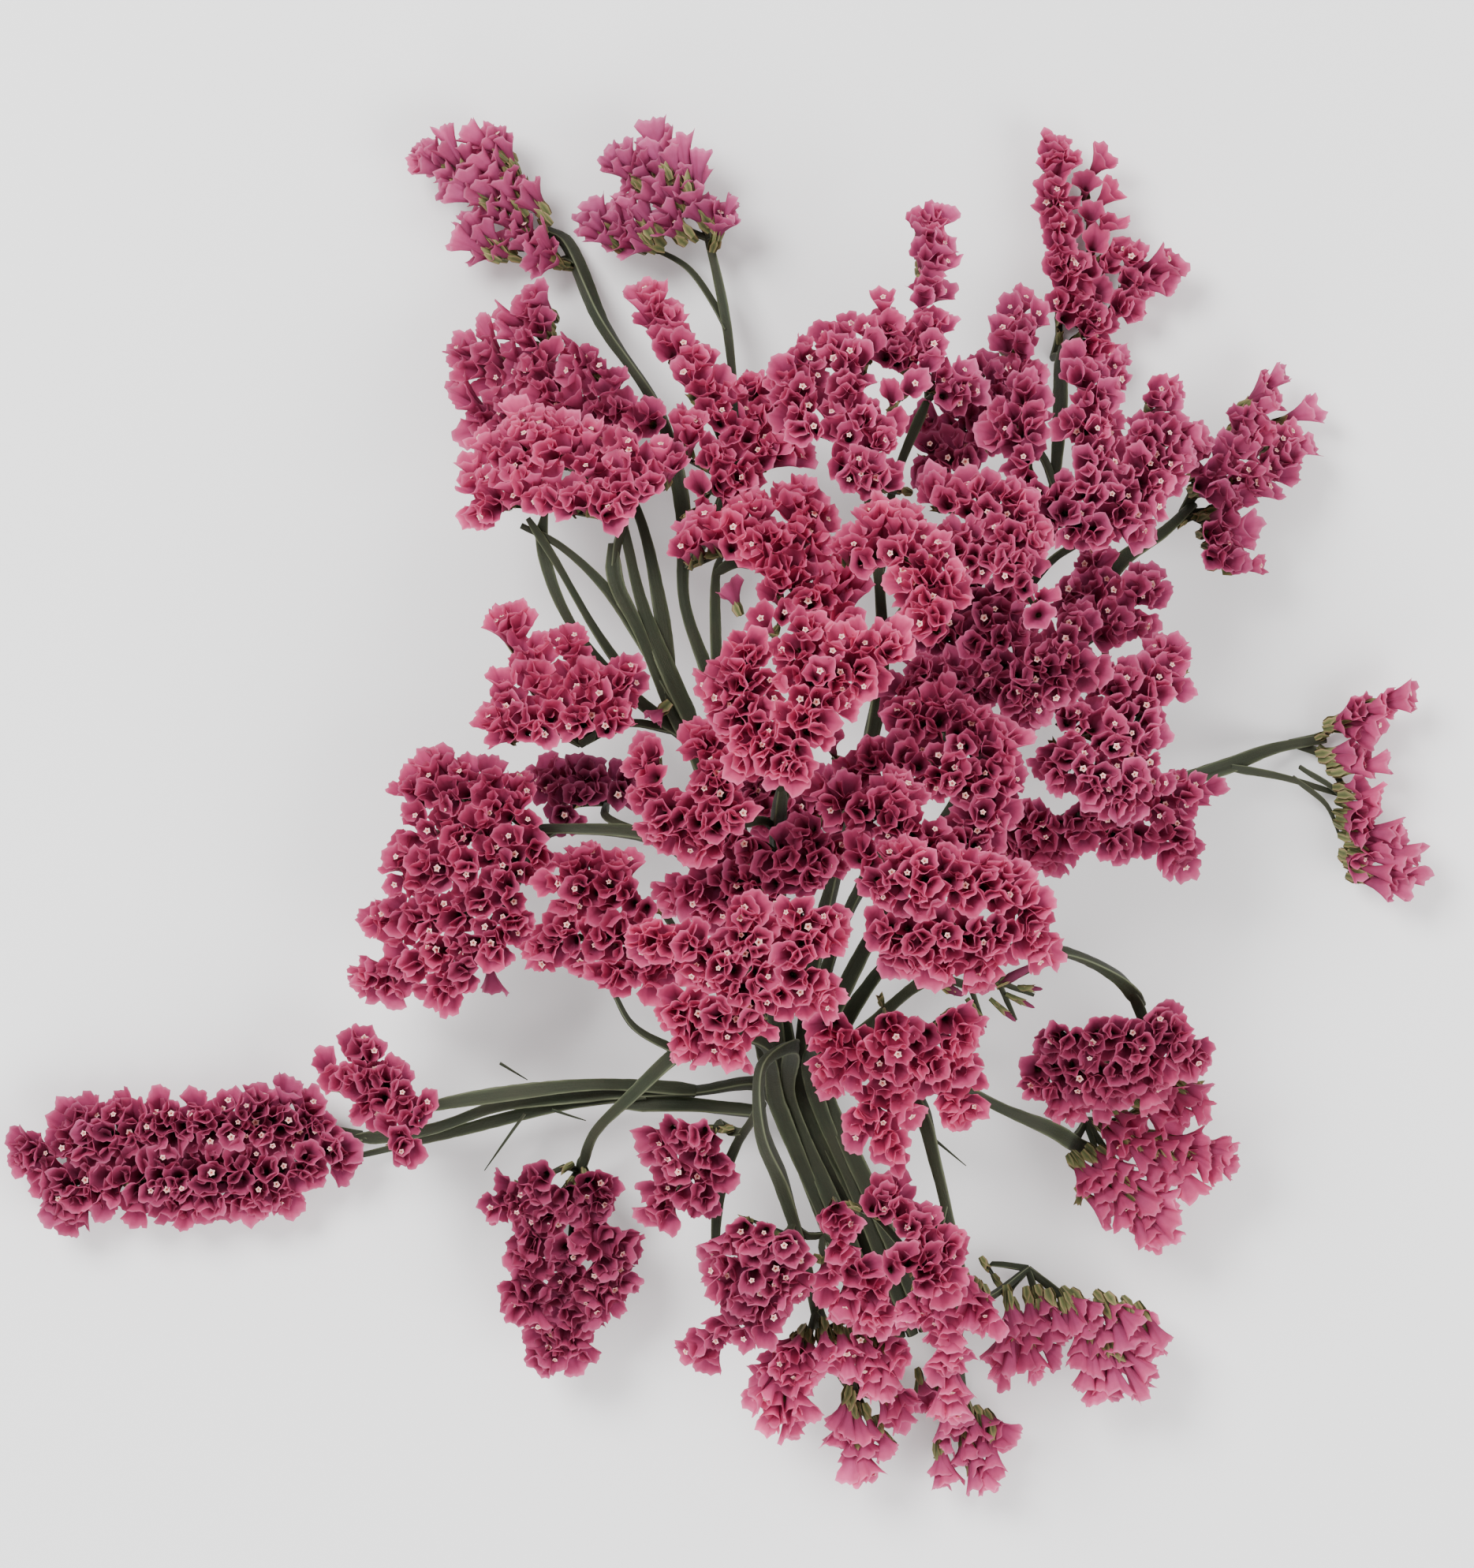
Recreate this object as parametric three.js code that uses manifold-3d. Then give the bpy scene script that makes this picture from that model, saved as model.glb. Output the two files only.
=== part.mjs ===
// A loose bunch of dried pink statice (sea lavender), laid down with its flower heads spread.
// Each cut stem is one solid: the stem, its branches, and the leafy keels that carry the heads.
// Each head is another: a sheet of papery calyxes that stand side by side along its combs.
// Millimetres. X runs to the right of the bunch, Y away from the cut ends, Z up from the surface.
import * as THREE from "three";
import { mergeVertices } from "three/addons/utils/BufferGeometryUtils.js";
import Module from "manifold-3d";

const wasm = await Module();
wasm.setup();

// Stems, branches and stalks
const STEM_RADIUS = 1.6;
const STEM_SIDES = 5;
const BRANCH_RADIUS = 1.0;
const BRANCH_LEAD = 0.8;
const STALK_RADIUS = 0.8;
const STALK_PITCH = 3;
const THIN_SIDES = 3;
const HUB_DEPTH = 10;
const ROD_FACE = new THREE.Vector3(0.05, 0.12, 1).normalize();

// A branch leaves its stem past the neck, runs on along it for a share of its reach, then turns
const PAST_NECK = 0.04;
const BRANCH_RUN = 0.4;
const BRANCH_TURN = 0.35;
const SEARCH_STEP = 0.005;

// A stalk leaves its branch before the end and runs towards a share of the comb that it carries
const FURTHEST_BACK = 0.8;
const STALK_AIM = 0.1;
const STALK_REACH = 0.7;

// The bundle in which the cut stems lie side by side, from the cut ends to the neck
const CUT_END = [47, -160, 1.7];
const NECK = [19, -89, 10];
const BUNDLE_PITCH = 3.75;
const BUNDLE_SHARES = [0, 0.5, 1];

// Calyxes: each stands in a six-sided cell of a lattice that is laid over its head's combs
const CELL_PITCH = 9.4;
const COMB_STEPS = 12;
const TIP_BACK = 5;
const LEAST_SHARE = 0.4;
const ONE_ROW_REACH = 4.6;
const TWO_ROWS_REACH = 7.0;
const MOUTH_HEIGHT = 9.6;
const MOUTH_SIZE = 0.88;
const MOUTH_SWAY = 0.05;
const MOUTH_RUFFLE = 1.6;
const DISH_HEIGHT = 5.8;
const VALLEY_HEIGHT = 2.2;
const SHEET_UNDER = 2.2;
const CELL_WANDER = 0.8;
const SPLAY = 0.12;
const LOWEST_LEAN = 50;
const LATTICE_SPAN = 14;

// A head droops from its middle to its rim, unless it lies on the surface
const DROOP = 3.5;
const STEEPEST = 0.36;
const DROOP_REACH = 25;
const LOW_HEAD = 20;

// Keels of leafy bracts under the combs
const KEEL_HALF_WIDTH = 2.1;
const KEEL_DEPTH = 2.4;
const KEEL_GAP = 2.85;
const KEEL_START = 6;
const KEEL_TIP = 0.6;
const MOST_KEELS = 2;

// The room kept round any solid, the volume by which that room may graze another, and the sizes
// below which detail is merged
const GAP = 0.34;
const GRAZE_VOLUME = 0.2;
const FINEST_EDGE = 0.04;
const SAME_PLACE = 1e-5;

const STEM_COLOUR = 0x3c5037;
const CALYX_COLOUR = 0xc8587f;

// The middle of the box round the bunch, which becomes the origin
const BOX_MIDDLE = [-7.1, -5.45];

// The cut stems. Each has a slot in the bundle as a column and a layer, a path past the neck, and
// sometimes twigs, each as a radius and its points
const STEMS = [
  {
    name: "left",
    slot: [-2, 0],
    path: [
      [6, -86, 17], [-12, -88, 18], [-39, -89, 18], [-67, -92, 17], [-88, -99, 13],
      [-110, -102, 4],
    ],
    twigs: [
      [1.3, [-12, -88, 18], [-39, -86, 22], [-64, -88, 24], [-84, -91, 24], [-91, -93, 24]],
      [1.0, [-26, -89, 18], [-53, -93, 15], [-85, -101, 10], [-108, -107, 4]],
    ],
  },
  {
    name: "upper_left",
    slot: [-1, 0],
    path: [[3, -42, 24], [-11, 5, 32], [-19, 21, 36], [-28, 44, 40], [-34, 57, 41], [-35, 68, 41]],
    twigs: [
      [1.2, [-19, 21, 36], [-22, 50, 36], [-29, 79, 34], [-42, 95, 24], [-50, 105, 17]],
      [1.1, [-15, 13, 34], [-30, 25, 36], [-48, 47, 38], [-55, 68, 38], [-54, 77, 42]],
      [1.0, [-16, 21, 36], [-37, 55, 40], [-51, 68, 40], [-61, 73, 40]],
    ],
  },
  {
    name: "top_left",
    slot: [0, 0],
    path: [
      [9, -42, 26], [-2, -1, 30], [-7, 26, 30], [-15, 52, 30], [-15, 77, 28], [-21, 104, 24],
      [-39, 133, 14], [-50, 157, 4.2], [-55, 160, 2.4],
    ],
    twigs: [
      [0.9, [-6, 21, 31], [-6, 59, 46], [-4, 65, 56]],
      [0.9, [-14, 61, 31], [-2, 88, 30], [-2, 125, 18], [-9, 160, 7], [-12, 166, 4.2]],
      [0.6, [-3, 130, 16.5], [-7, 138, 12.5], [-15, 149, 8], [-28, 156, 5]],
      [0.9, [6, -30, 27], [4, -22, 18], [1, -13, 7.5], [2, -6, 4]],
    ],
  },
  {
    name: "upper_right",
    slot: [1, 0],
    path: [[28, -46, 26], [50, -4, 32], [68, 32, 34], [86, 66, 34], [92, 98, 24], [94, 126, 8]],
  },
  {
    name: "far_right",
    slot: [2, 0],
    path: [
      [40, -55, 22], [71, -28, 26], [100, -6, 28], [125, 1, 24], [139, 5, 19], [154, 10, 7],
      [170, 13, 2.4],
    ],
    twigs: [
      [0.8, [141, 5, 18], [157, 2, 10], [174, -3, 2.6]],
    ],
  },
  {
    name: "mid_left",
    slot: [-2, 1],
    path: [
      [3, -53, 36], [-8, -28, 46], [-15, -20, 46], [-25, -15, 43], [-45, -13, 38],
      [-60, -13, 32],
    ],
  },
  {
    name: "centre_left",
    slot: [-1, 1],
    path: [[11, -59, 42], [12, -34, 62], [11, -14, 76], [12, -1, 96]],
  },
  {
    name: "top_middle",
    slot: [0, 1],
    path: [[23, -46, 42], [34, -1, 52], [40, 32, 58], [39, 65, 60], [37, 84, 64]],
  },
  {
    name: "right",
    slot: [1, 1],
    path: [[37, -46, 40], [63, -4, 46], [88, 30, 44], [108, 62, 32], [121, 71, 26], [131, 80, 14]],
  },
  {
    name: "lower_right",
    slot: [2, 1],
    path: [
      [41, -66, 33], [56, -53, 62], [73, -47, 76], [86, -46, 75], [95, -48, 68],
      [108, -55, 54], [114, -62, 44],
    ],
    twigs: [
      [0.7, [56, -53, 62], [65, -56, 60], [73, -55, 59], [82, -52, 58]],
      [0.6, [65, -56, 60], [69, -67, 58]],
      [0.6, [73, -55, 59], [78, -66, 57]],
      [0.6, [73, -55, 59], [83, -59, 57]],
    ],
  },
  {
    name: "lower_left",
    slot: [-2, 2],
    path: [
      [7, -73, 48], [-7, -70, 50], [-16, -76, 44], [-29, -88, 34], [-40, -99, 24],
      [-44, -109, 12],
    ],
    twigs: [
      [0.8, [-16, -76, 44], [-29, -68, 54], [-35, -57, 64]],
    ],
  },
  {
    name: "bottom",
    slot: [-1, 2],
    path: [
      [15, -73, 62], [7, -78, 72], [7, -96, 66], [13, -112, 54], [19, -133, 40],
      [25, -157, 20], [34, -176, 8],
    ],
    twigs: [
      [
        0.9, [7, -89, 68], [4, -95, 50], [0, -102, 37], [-4, -113, 30], [-6, -126, 26],
        [-6, -145, 24],
      ],
    ],
  },
  {
    name: "bottom_right",
    slot: [1, 2],
    path: [
      [25, -72, 58], [41, -76, 66], [51, -89, 66], [56, -107, 62], [60, -125, 54],
      [63, -144, 38], [63, -163, 11], [65, -176, 2.4],
    ],
  },
  {
    name: "low_right",
    slot: [2, 2],
    path: [
      [35, -76, 46], [49, -75, 50], [60, -83, 46], [74, -91, 38], [89, -98, 28],
      [98, -104, 14], [104, -106, 10],
    ],
  },
];

// The flower heads: the stem that carries each, its height, and where it faces as an azimuth and an
// elevation in degrees. Each comb is its number of rows of calyxes, then its points from its foot
const HEADS = [
  {
    name: "tip_left_top",
    stem: "top_left",
    height: 7,
    face: [135, 30],
    combs: [
      [2, [-62, 157], [-74, 172], [-89, 180]],
      [1, [-61, 158], [-66, 169], [-68, 184]],
      [1, [-55, 159], [-60, 172]],
      [2, [-55, 154], [-73, 156]],
    ],
  },
  {
    name: "tip_left_second",
    stem: "top_left",
    height: 12,
    face: [130, 30],
    combs: [
      [2, [-12, 165], [-20, 173], [-32, 175]],
      [2, [-10, 163], [-20, 167]],
      [2, [-17, 162], [-27, 159], [-38, 157]],
    ],
  },
  {
    name: "upper_left_back",
    stem: "upper_left",
    height: 24,
    face: [150, 45],
    combs: [
      [2, [-50, 103], [-56, 121], [-55, 137]],
      [2, [-48, 106], [-59, 117], [-72, 119]],
      [2, [-34, 105], [-41, 121]],
      [2, [-50, 101], [-72, 105]],
      [2, [-25, 103], [-50, 105]],
    ],
  },
  {
    name: "upper_left_front",
    stem: "upper_left",
    height: 50,
    face: [115, 50],
    combs: [
      [2, [-36, 82], [-50, 91], [-64, 90]],
      [2, [-39, 76], [-52, 78], [-72, 80]],
      [2, [-36, 80], [-20, 84]],
      [1, [-27, 83], [-27, 95]],
    ],
  },
  {
    name: "top_middle_left",
    stem: "top_left",
    height: 48,
    face: [80, 55],
    combs: [
      [2, [-7, 105], [-22, 127]],
      [2, [3, 96], [-12, 109]],
      [2, [6, 89], [6, 100], [5, 112]],
      [2, [-2, 86], [-18, 94]],
    ],
  },
  {
    name: "middle_left_comb",
    stem: "top_left",
    height: 66,
    face: [100, 50],
    combs: [
      [2, [6, 70], [-4, 66], [-15, 61]],
      [2, [6, 69], [16, 61], [16, 74]],
      [2, [12, 61], [20, 50], [33, 44]],
    ],
  },
  {
    name: "crown_left",
    stem: "top_middle",
    height: 74,
    face: [90, 70],
    combs: [
      [2, [36, 92], [32, 107], [27, 126]],
      [2, [34, 95], [19, 100], [16, 114]],
      [2, [49, 81], [36, 83], [27, 88]],
    ],
  },
  {
    name: "crown_spike",
    stem: "top_middle",
    height: 54,
    face: [60, 55],
    combs: [
      [2, [59, 108], [47, 116], [35, 123]],
      [1, [54, 118], [52, 138], [52, 158]],
    ],
  },
  {
    name: "crown_small",
    stem: "upper_right",
    height: 39,
    face: [100, 60],
    combs: [
      [2, [80, 111], [79, 132]],
      [1, [74, 108], [65, 119]],
      [2, [76, 102], [63, 102], [52, 105]],
      [2, [76, 99], [64, 91], [52, 92]],
    ],
  },
  {
    name: "spire",
    stem: "upper_right",
    height: 6,
    face: [50, 60],
    combs: [
      [2, [93, 127], [92, 154], [90, 177]],
      [2, [96, 127], [108, 137], [112, 146]],
    ],
  },
  {
    name: "right_cluster",
    stem: "upper_right",
    height: 60,
    face: [70, 75],
    combs: [
      [2, [98, 71], [83, 84], [80, 105]],
      [2, [99, 71], [98, 95], [98, 118]],
      [2, [101, 73], [114, 87], [116, 109]],
    ],
  },
  {
    name: "right_tip",
    stem: "right",
    height: 20,
    face: [20, 45],
    combs: [
      [2, [133, 84], [142, 96], [147, 108]],
      [2, [133, 84], [128, 96]],
      [2, [135, 78], [122, 72]],
      [1, [135, 78], [138, 61]],
      [2, [135, 78], [146, 82]],
    ],
  },
  {
    name: "centre_top",
    stem: "top_middle",
    height: 90,
    face: [100, 60],
    combs: [
      [2, [53, 59], [41, 64], [30, 61]],
      [2, [52, 59], [56, 42]],
    ],
  },
  {
    name: "right_small",
    stem: "upper_right",
    height: 78,
    face: [100, 70],
    combs: [
      [2, [76, 75], [56, 77]],
      [2, [76, 74], [74, 63], [59, 63]],
    ],
  },
  {
    name: "right_pair",
    stem: "right",
    height: 42,
    face: [60, 65],
    combs: [
      [2, [101, 42], [90, 54]],
      [2, [101, 42], [114, 53]],
      [2, [101, 47], [101, 60]],
    ],
  },
  {
    name: "left_small",
    stem: "upper_left",
    height: 52,
    face: [100, 50],
    combs: [
      [2, [-36, 15], [-51, 20], [-62, 13]],
      [1, [-53, 18], [-63, 38]],
      [1, [-55, 17], [-69, 24]],
      [2, [-43, 19], [-45, 34]],
      [1, [-39, 18], [-34, 27]],
    ],
  },
  {
    name: "left_dark",
    stem: "mid_left",
    height: 22,
    face: [100, 75],
    combs: [
      [2, [-33, -2], [-55, -1]],
      [1, [-43, -4], [-55, -9]],
    ],
  },
  {
    name: "centre_high",
    stem: "centre_left",
    height: 112,
    face: [110, 82],
    combs: [
      [2, [14, 6], [3, 19], [2, 37]],
      [2, [14, 6], [21, 23], [16, 41]],
      [2, [21, 27], [39, 34]],
    ],
  },
  {
    name: "centre_left_high",
    stem: "centre_left",
    height: 98,
    face: [130, 75],
    combs: [
      [2, [-2, -9], [-7, 8]],
      [2, [-5, -11], [-21, -5], [-22, 5]],
    ],
  },
  {
    name: "left_wide",
    stem: "mid_left",
    height: 40,
    face: [165, 70],
    combs: [
      [2, [-59, -13], [-72, -4], [-89, -5]],
      [2, [-59, -16], [-74, -22], [-94, -25]],
      [2, [-63, -22], [-77, -36], [-98, -39]],
      [2, [-64, -26], [-67, -43], [-82, -55]],
      [2, [-72, -44], [-98, -52]],
    ],
  },
  {
    name: "left_band",
    stem: "mid_left",
    height: 66,
    face: [200, 78],
    combs: [
      [2, [-19, -36], [-37, -30], [-52, -28]],
      [2, [-19, -42], [-37, -44], [-52, -42]],
      [2, [-20, -47], [-33, -53]],
    ],
  },
  {
    name: "front_bright",
    stem: "lower_left",
    height: 118,
    face: [220, 82],
    combs: [
      [2, [6, -62], [-6, -64], [-18, -59]],
      [2, [7, -61], [17, -49], [18, -35]],
      [2, [5, -58], [-9, -45], [-23, -43]],
      [2, [5, -55], [1, -36]],
    ],
  },
  {
    name: "front_middle",
    stem: "centre_left",
    height: 80,
    face: [170, 80],
    combs: [
      [2, [19, -25], [5, -16], [-8, -15]],
      [2, [19, -24], [23, -8]],
      [2, [17, -28], [0, -28], [-12, -26]],
    ],
  },
  {
    name: "dark_right",
    stem: "right",
    height: 62,
    face: [90, 78],
    combs: [
      [2, [78, 30], [65, 41], [54, 41]],
      [2, [78, 27], [65, 27], [52, 29]],
      [2, [76, 34], [67, 53]],
      [2, [79, 30], [91, 34], [95, 43]],
    ],
  },
  {
    name: "right_edge",
    stem: "far_right",
    height: 58,
    face: [60, 70],
    combs: [
      [2, [113, 0], [99, 3], [89, 11]],
      [2, [113, 1], [112, 14], [117, 27], [127, 33]],
      [2, [112, 12], [106, 25], [104, 36]],
      [2, [110, 7], [97, 15], [89, 18]],
    ],
  },
  {
    name: "right_low_edge",
    stem: "far_right",
    height: 44,
    face: [310, 75],
    combs: [
      [2, [95, -11], [82, -12], [75, -6]],
      [2, [97, -9], [113, -7], [126, -4]],
      [2, [97, -12], [111, -15], [123, -13]],
    ],
  },
  {
    name: "centre_right_high",
    stem: "lower_right",
    height: 79,
    face: [80, 80],
    combs: [
      [2, [71, -1], [61, 14], [44, 19]],
      [2, [70, -2], [53, 4], [33, 5]],
      [2, [71, -3], [64, -18]],
    ],
  },
  {
    name: "centre_right",
    stem: "lower_right",
    height: 94,
    face: [100, 82],
    combs: [
      [2, [53, -17], [40, -9], [29, -6]],
      [2, [53, -21], [32, -21]],
    ],
  },
  {
    name: "right_bright",
    stem: "lower_right",
    height: 108,
    face: [300, 80],
    combs: [
      [2, [76, -34], [60, -27], [38, -26]],
      [2, [76, -39], [60, -42], [38, -40]],
    ],
  },
  {
    name: "far_right_tip",
    stem: "far_right",
    height: 7,
    face: [0, 40],
    combs: [
      [2, [167, 13], [182, 22]],
      [2, [168, 11], [175, -1], [179, -26]],
    ],
  },
  {
    name: "lower_right_dark",
    stem: "lower_right",
    height: 48,
    face: [270, 72],
    combs: [
      [2, [116, -75], [103, -80], [85, -81]],
      [2, [116, -73], [103, -71], [92, -71]],
      [2, [116, -73], [126, -72]],
    ],
  },
  {
    name: "lower_right_tip",
    stem: "low_right",
    height: 18,
    face: [320, 30],
    combs: [
      [2, [108, -98], [122, -89], [131, -86]],
      [2, [108, -101], [124, -105], [131, -107]],
      [2, [106, -104], [111, -116], [117, -123]],
      [1, [105, -105], [98, -118]],
    ],
  },
  {
    name: "neck_right",
    stem: "bottom_right",
    height: 76,
    face: [300, 55],
    combs: [
      [2, [42, -75], [31, -73], [26, -66]],
      [2, [44, -74], [40, -60]],
      [2, [48, -73], [59, -64]],
      [1, [53, -74], [63, -78]],
      [1, [51, -75], [59, -84], [66, -85]],
      [1, [42, -78], [37, -91], [40, -100]],
    ],
  },
  {
    name: "far_left_tip",
    stem: "left",
    height: 6,
    face: [90, 88],
    combs: [
      [2, [-114, -100], [-144, -98], [-171, -100], [-198, -106]],
      [2, [-114, -104], [-132, -112], [-162, -114], [-192, -115]],
    ],
  },
  {
    name: "far_left_near",
    stem: "left",
    height: 32,
    face: [120, 70],
    combs: [
      [2, [-91, -93], [-102, -84], [-109, -74]],
      [2, [-91, -95], [-98, -102]],
      [1, [-100, -88], [-116, -86]],
    ],
  },
  {
    name: "lower_left_tip",
    stem: "lower_left",
    height: 14,
    face: [260, 62],
    combs: [
      [2, [-47, -109], [-58, -114], [-69, -118]],
      [2, [-44, -110], [-39, -124], [-41, -142]],
      [2, [-47, -113], [-57, -128], [-59, -144]],
      [2, [-48, -133], [-50, -160]],
    ],
  },
  {
    name: "neck_left",
    stem: "bottom",
    height: 40,
    face: [250, 65],
    combs: [
      [2, [-1, -98], [-18, -98]],
      [2, [-9, -101], [-18, -118]],
      [1, [-9, -101], [-9, -118]],
    ],
  },
  {
    name: "bottom_dark",
    stem: "bottom",
    height: 52,
    face: [240, 60],
    combs: [
      [2, [15, -128], [1, -122]],
      [2, [14, -130], [7, -141]],
      [2, [5, -132], [-4, -156]],
      [1, [5, -139], [7, -152]],
    ],
  },
  {
    name: "bottom_comb",
    stem: "bottom",
    height: 50,
    face: [270, 50],
    combs: [
      [2, [21, -134], [32, -137], [43, -145]],
      [1, [28, -133], [27, -117]],
    ],
  },
  {
    name: "bottom_upper",
    stem: "bottom_right",
    height: 66,
    face: [60, 65],
    combs: [
      [2, [55, -131], [48, -123], [41, -118]],
      [1, [41, -120], [33, -117]],
      [2, [54, -133], [43, -135]],
    ],
  },
  {
    name: "bottom_fan",
    stem: "bottom_right",
    height: 48,
    face: [270, 40],
    combs: [
      [2, [60, -139], [59, -150], [60, -166]],
      [2, [60, -139], [69, -146]],
      [2, [60, -139], [51, -144]],
    ],
  },
  {
    name: "bottom_chain",
    stem: "bottom_right",
    height: 14,
    face: [290, 30],
    combs: [
      [1, [70, -136], [77, -146]],
      [2, [77, -144], [84, -161]],
      [1, [85, -150], [94, -150], [103, -154]],
      [2, [101, -154], [116, -153]],
      [2, [101, -154], [108, -165]],
    ],
  },
  {
    name: "bottom_left_tips",
    stem: "bottom",
    height: 32,
    face: [280, 40],
    combs: [
      [2, [22, -158], [16, -165], [14, -174]],
      [1, [24, -158], [30, -153]],
      [2, [25, -158], [45, -159]],
    ],
  },
  {
    name: "bottom_green_comb",
    stem: "bottom",
    height: 12,
    face: [290, 30],
    combs: [
      [2, [34, -175], [45, -175]],
      [2, [35, -178], [36, -195]],
      [1, [37, -182], [46, -190]],
    ],
  },
  {
    name: "bottom_tip",
    stem: "bottom_right",
    height: 6,
    face: [275, 30],
    combs: [
      [2, [63, -183], [57, -195]],
      [2, [64, -183], [67, -197]],
      [2, [64, -183], [75, -189]],
      [1, [62, -181], [50, -175]],
    ],
  },
  {
    name: "underside",
    height: 1,
    face: [90, 90],
    combs: [
      [2, [7, -2], [29, -2]],
      [2, [7, -9], [29, -9]],
    ],
  },
];

// A draw between 0 and 1 from a whole number, always the same for the same number
function draw(seed) {
  const wave = Math.sin(seed * 12.9898 + 4.1414) * 43758.5453;
  return wave - Math.floor(wave);
}

// A draw between minus and plus a size
function sway(seed, size) {
  return size * (2 * draw(seed) - 1);
}

function radians(degrees) {
  return (degrees * Math.PI) / 180;
}

function vector(place) {
  return new THREE.Vector3(...place);
}

function direction([azimuth, elevation]) {
  const flat = Math.cos(radians(elevation));
  const x = flat * Math.cos(radians(azimuth));
  const y = flat * Math.sin(radians(azimuth));
  return new THREE.Vector3(x, y, Math.sin(radians(elevation)));
}

function smoothCurve(points) {
  return new THREE.CatmullRomCurve3(points, false, "centripetal");
}

// A three.js geometry from corner places and triangles between them
function geometryOf(places, triangles) {
  const geometry = new THREE.BufferGeometry();
  geometry.setAttribute("position", new THREE.Float32BufferAttribute(places.flatMap((p) => p.toArray()), 3));
  geometry.setIndex(triangles.flat());
  return geometry;
}

// A solid that can be joined and cut, from a closed three.js geometry
function solidFrom(geometry) {
  const merged = mergeVertices(geometry, SAME_PLACE);
  const mesh = new wasm.Mesh({
    numProp: 3,
    vertProperties: new Float32Array(merged.attributes.position.array),
    triVerts: new Uint32Array(merged.index.array),
  });
  return new wasm.Manifold(mesh);
}

function geometryFrom(solid) {
  const mesh = solid.getMesh();
  const geometry = new THREE.BufferGeometry();
  geometry.setAttribute("position", new THREE.BufferAttribute(mesh.vertProperties, 3));
  geometry.setIndex(new THREE.BufferAttribute(mesh.triVerts, 1));
  return geometry;
}

// A ring: a section of [across, up] points, set square to a curve with its up side to a face
function ringAt(curve, t, face, section) {
  const along = curve.getTangent(t);
  const up = face.clone().addScaledVector(along, -face.dot(along)).normalize();
  const across = new THREE.Vector3().crossVectors(along, up);
  return { place: curve.getPoint(t), up, across, section };
}

// As many rings as the curve has points, from a share of its way to its end. The face that their
// up sides look to is found from each ring's place
function ringsAlong(curve, start, faceAt, section) {
  const last = curve.points.length - 1;
  return curve.points.map((_, i) => {
    const t = start + ((1 - start) * i) / last;
    return ringAt(curve, t, faceAt(curve.getPoint(t)), section);
  });
}

function ringCorners({ place, across, up, section }) {
  return section.map(([x, y]) => place.clone().addScaledVector(across, x).addScaledVector(up, y));
}

// A closed solid through a row of rings with equally many corners, with flat ends
function sweep(rings) {
  const count = rings[0].section.length;
  const last = (rings.length - 1) * count;
  const triangles = [];
  for (let ring = 0; ring < last; ring += count) {
    for (let side = 0; side < count; side += 1) {
      const a = ring + side;
      const b = ring + ((side + 1) % count);
      triangles.push([a, a + count, b], [b, a + count, b + count]);
    }
  }
  for (let side = 1; side < count - 1; side += 1) {
    triangles.push([0, side, side + 1], [last, last + side + 1, last + side]);
  }
  return solidFrom(geometryOf(rings.flatMap(ringCorners), triangles));
}

function roundSection(radius, sides) {
  return Array.from({ length: sides }, (_, side) => {
    const turn = Math.PI / 2 + (2 * Math.PI * (side + 0.5)) / sides;
    return [radius * Math.cos(turn), radius * Math.sin(turn)];
  });
}

// A rod along points, with a ring at every point
function rod(points, radius, sides) {
  return sweep(ringsAlong(smoothCurve(points), 0, () => ROD_FACE, roundSection(radius, sides)));
}

// The middle of a number of places, seen from above
function middleOf(places) {
  const sum = places.reduce((total, [x, y]) => total.add(new THREE.Vector2(x, y)), new THREE.Vector2());
  return sum.divideScalar(places.length);
}

// How far a head's base falls per millimetre, towards where it faces. A low head is level
function slopeOf(head) {
  const [azimuth, elevation] = head.face;
  const steepness = head.height < LOW_HEAD ? 0 : Math.min(1 / Math.tan(radians(elevation)), STEEPEST);
  return new THREE.Vector2(Math.cos(radians(azimuth)), Math.sin(radians(azimuth))).multiplyScalar(steepness);
}

// How far a place lies from the middle of its head's combs
function offsetOf(head, { x, y }) {
  return new THREE.Vector2(x, y).sub(middleOf(head.combs.flatMap(([, ...points]) => points)));
}

// A low head lies flat. Any other droops from its middle to its rim
function droopOf(head) {
  return head.height < LOW_HEAD ? 0 : DROOP / DROOP_REACH ** 2;
}

// A place on a head's base, which slopes away to its facing and droops
function basePlace(head, x, y) {
  const offset = offsetOf(head, { x, y });
  const drop = slopeOf(head).dot(offset) + droopOf(head) * offset.lengthSq();
  return new THREE.Vector3(x, y, head.height - drop);
}

// The direction square to a head's base at a place
function squareAt(head, place) {
  const tilt = slopeOf(head).addScaledVector(offsetOf(head, place), 2 * droopOf(head));
  return new THREE.Vector3(tilt.x, tilt.y, 1).normalize();
}

function combCurve(head, points) {
  return smoothCurve(points.map(([x, y]) => basePlace(head, x, y)));
}

// The six neighbours of a lattice cell, counted round from the one at its right
const NEIGHBOURS = [[1, 0], [0, 1], [-1, 1], [-1, 0], [0, -1], [1, -1]];

// The lattice of a head starts at its first comb and runs along it
function latticeOf(head) {
  const [, foot, ...others] = head.combs[0];
  const tip = others[others.length - 1];
  return { origin: new THREE.Vector2(...foot), turn: Math.atan2(tip[1] - foot[1], tip[0] - foot[0]) };
}

// Where a cell, or a third of a cell, lies on its head's lattice
function latticePlace({ origin, turn }, q, r) {
  const place = new THREE.Vector2(CELL_PITCH * (q + r / 2), CELL_PITCH * Math.sqrt(3 / 4) * r);
  return place.rotateAround(new THREE.Vector2(), turn).add(origin);
}

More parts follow.
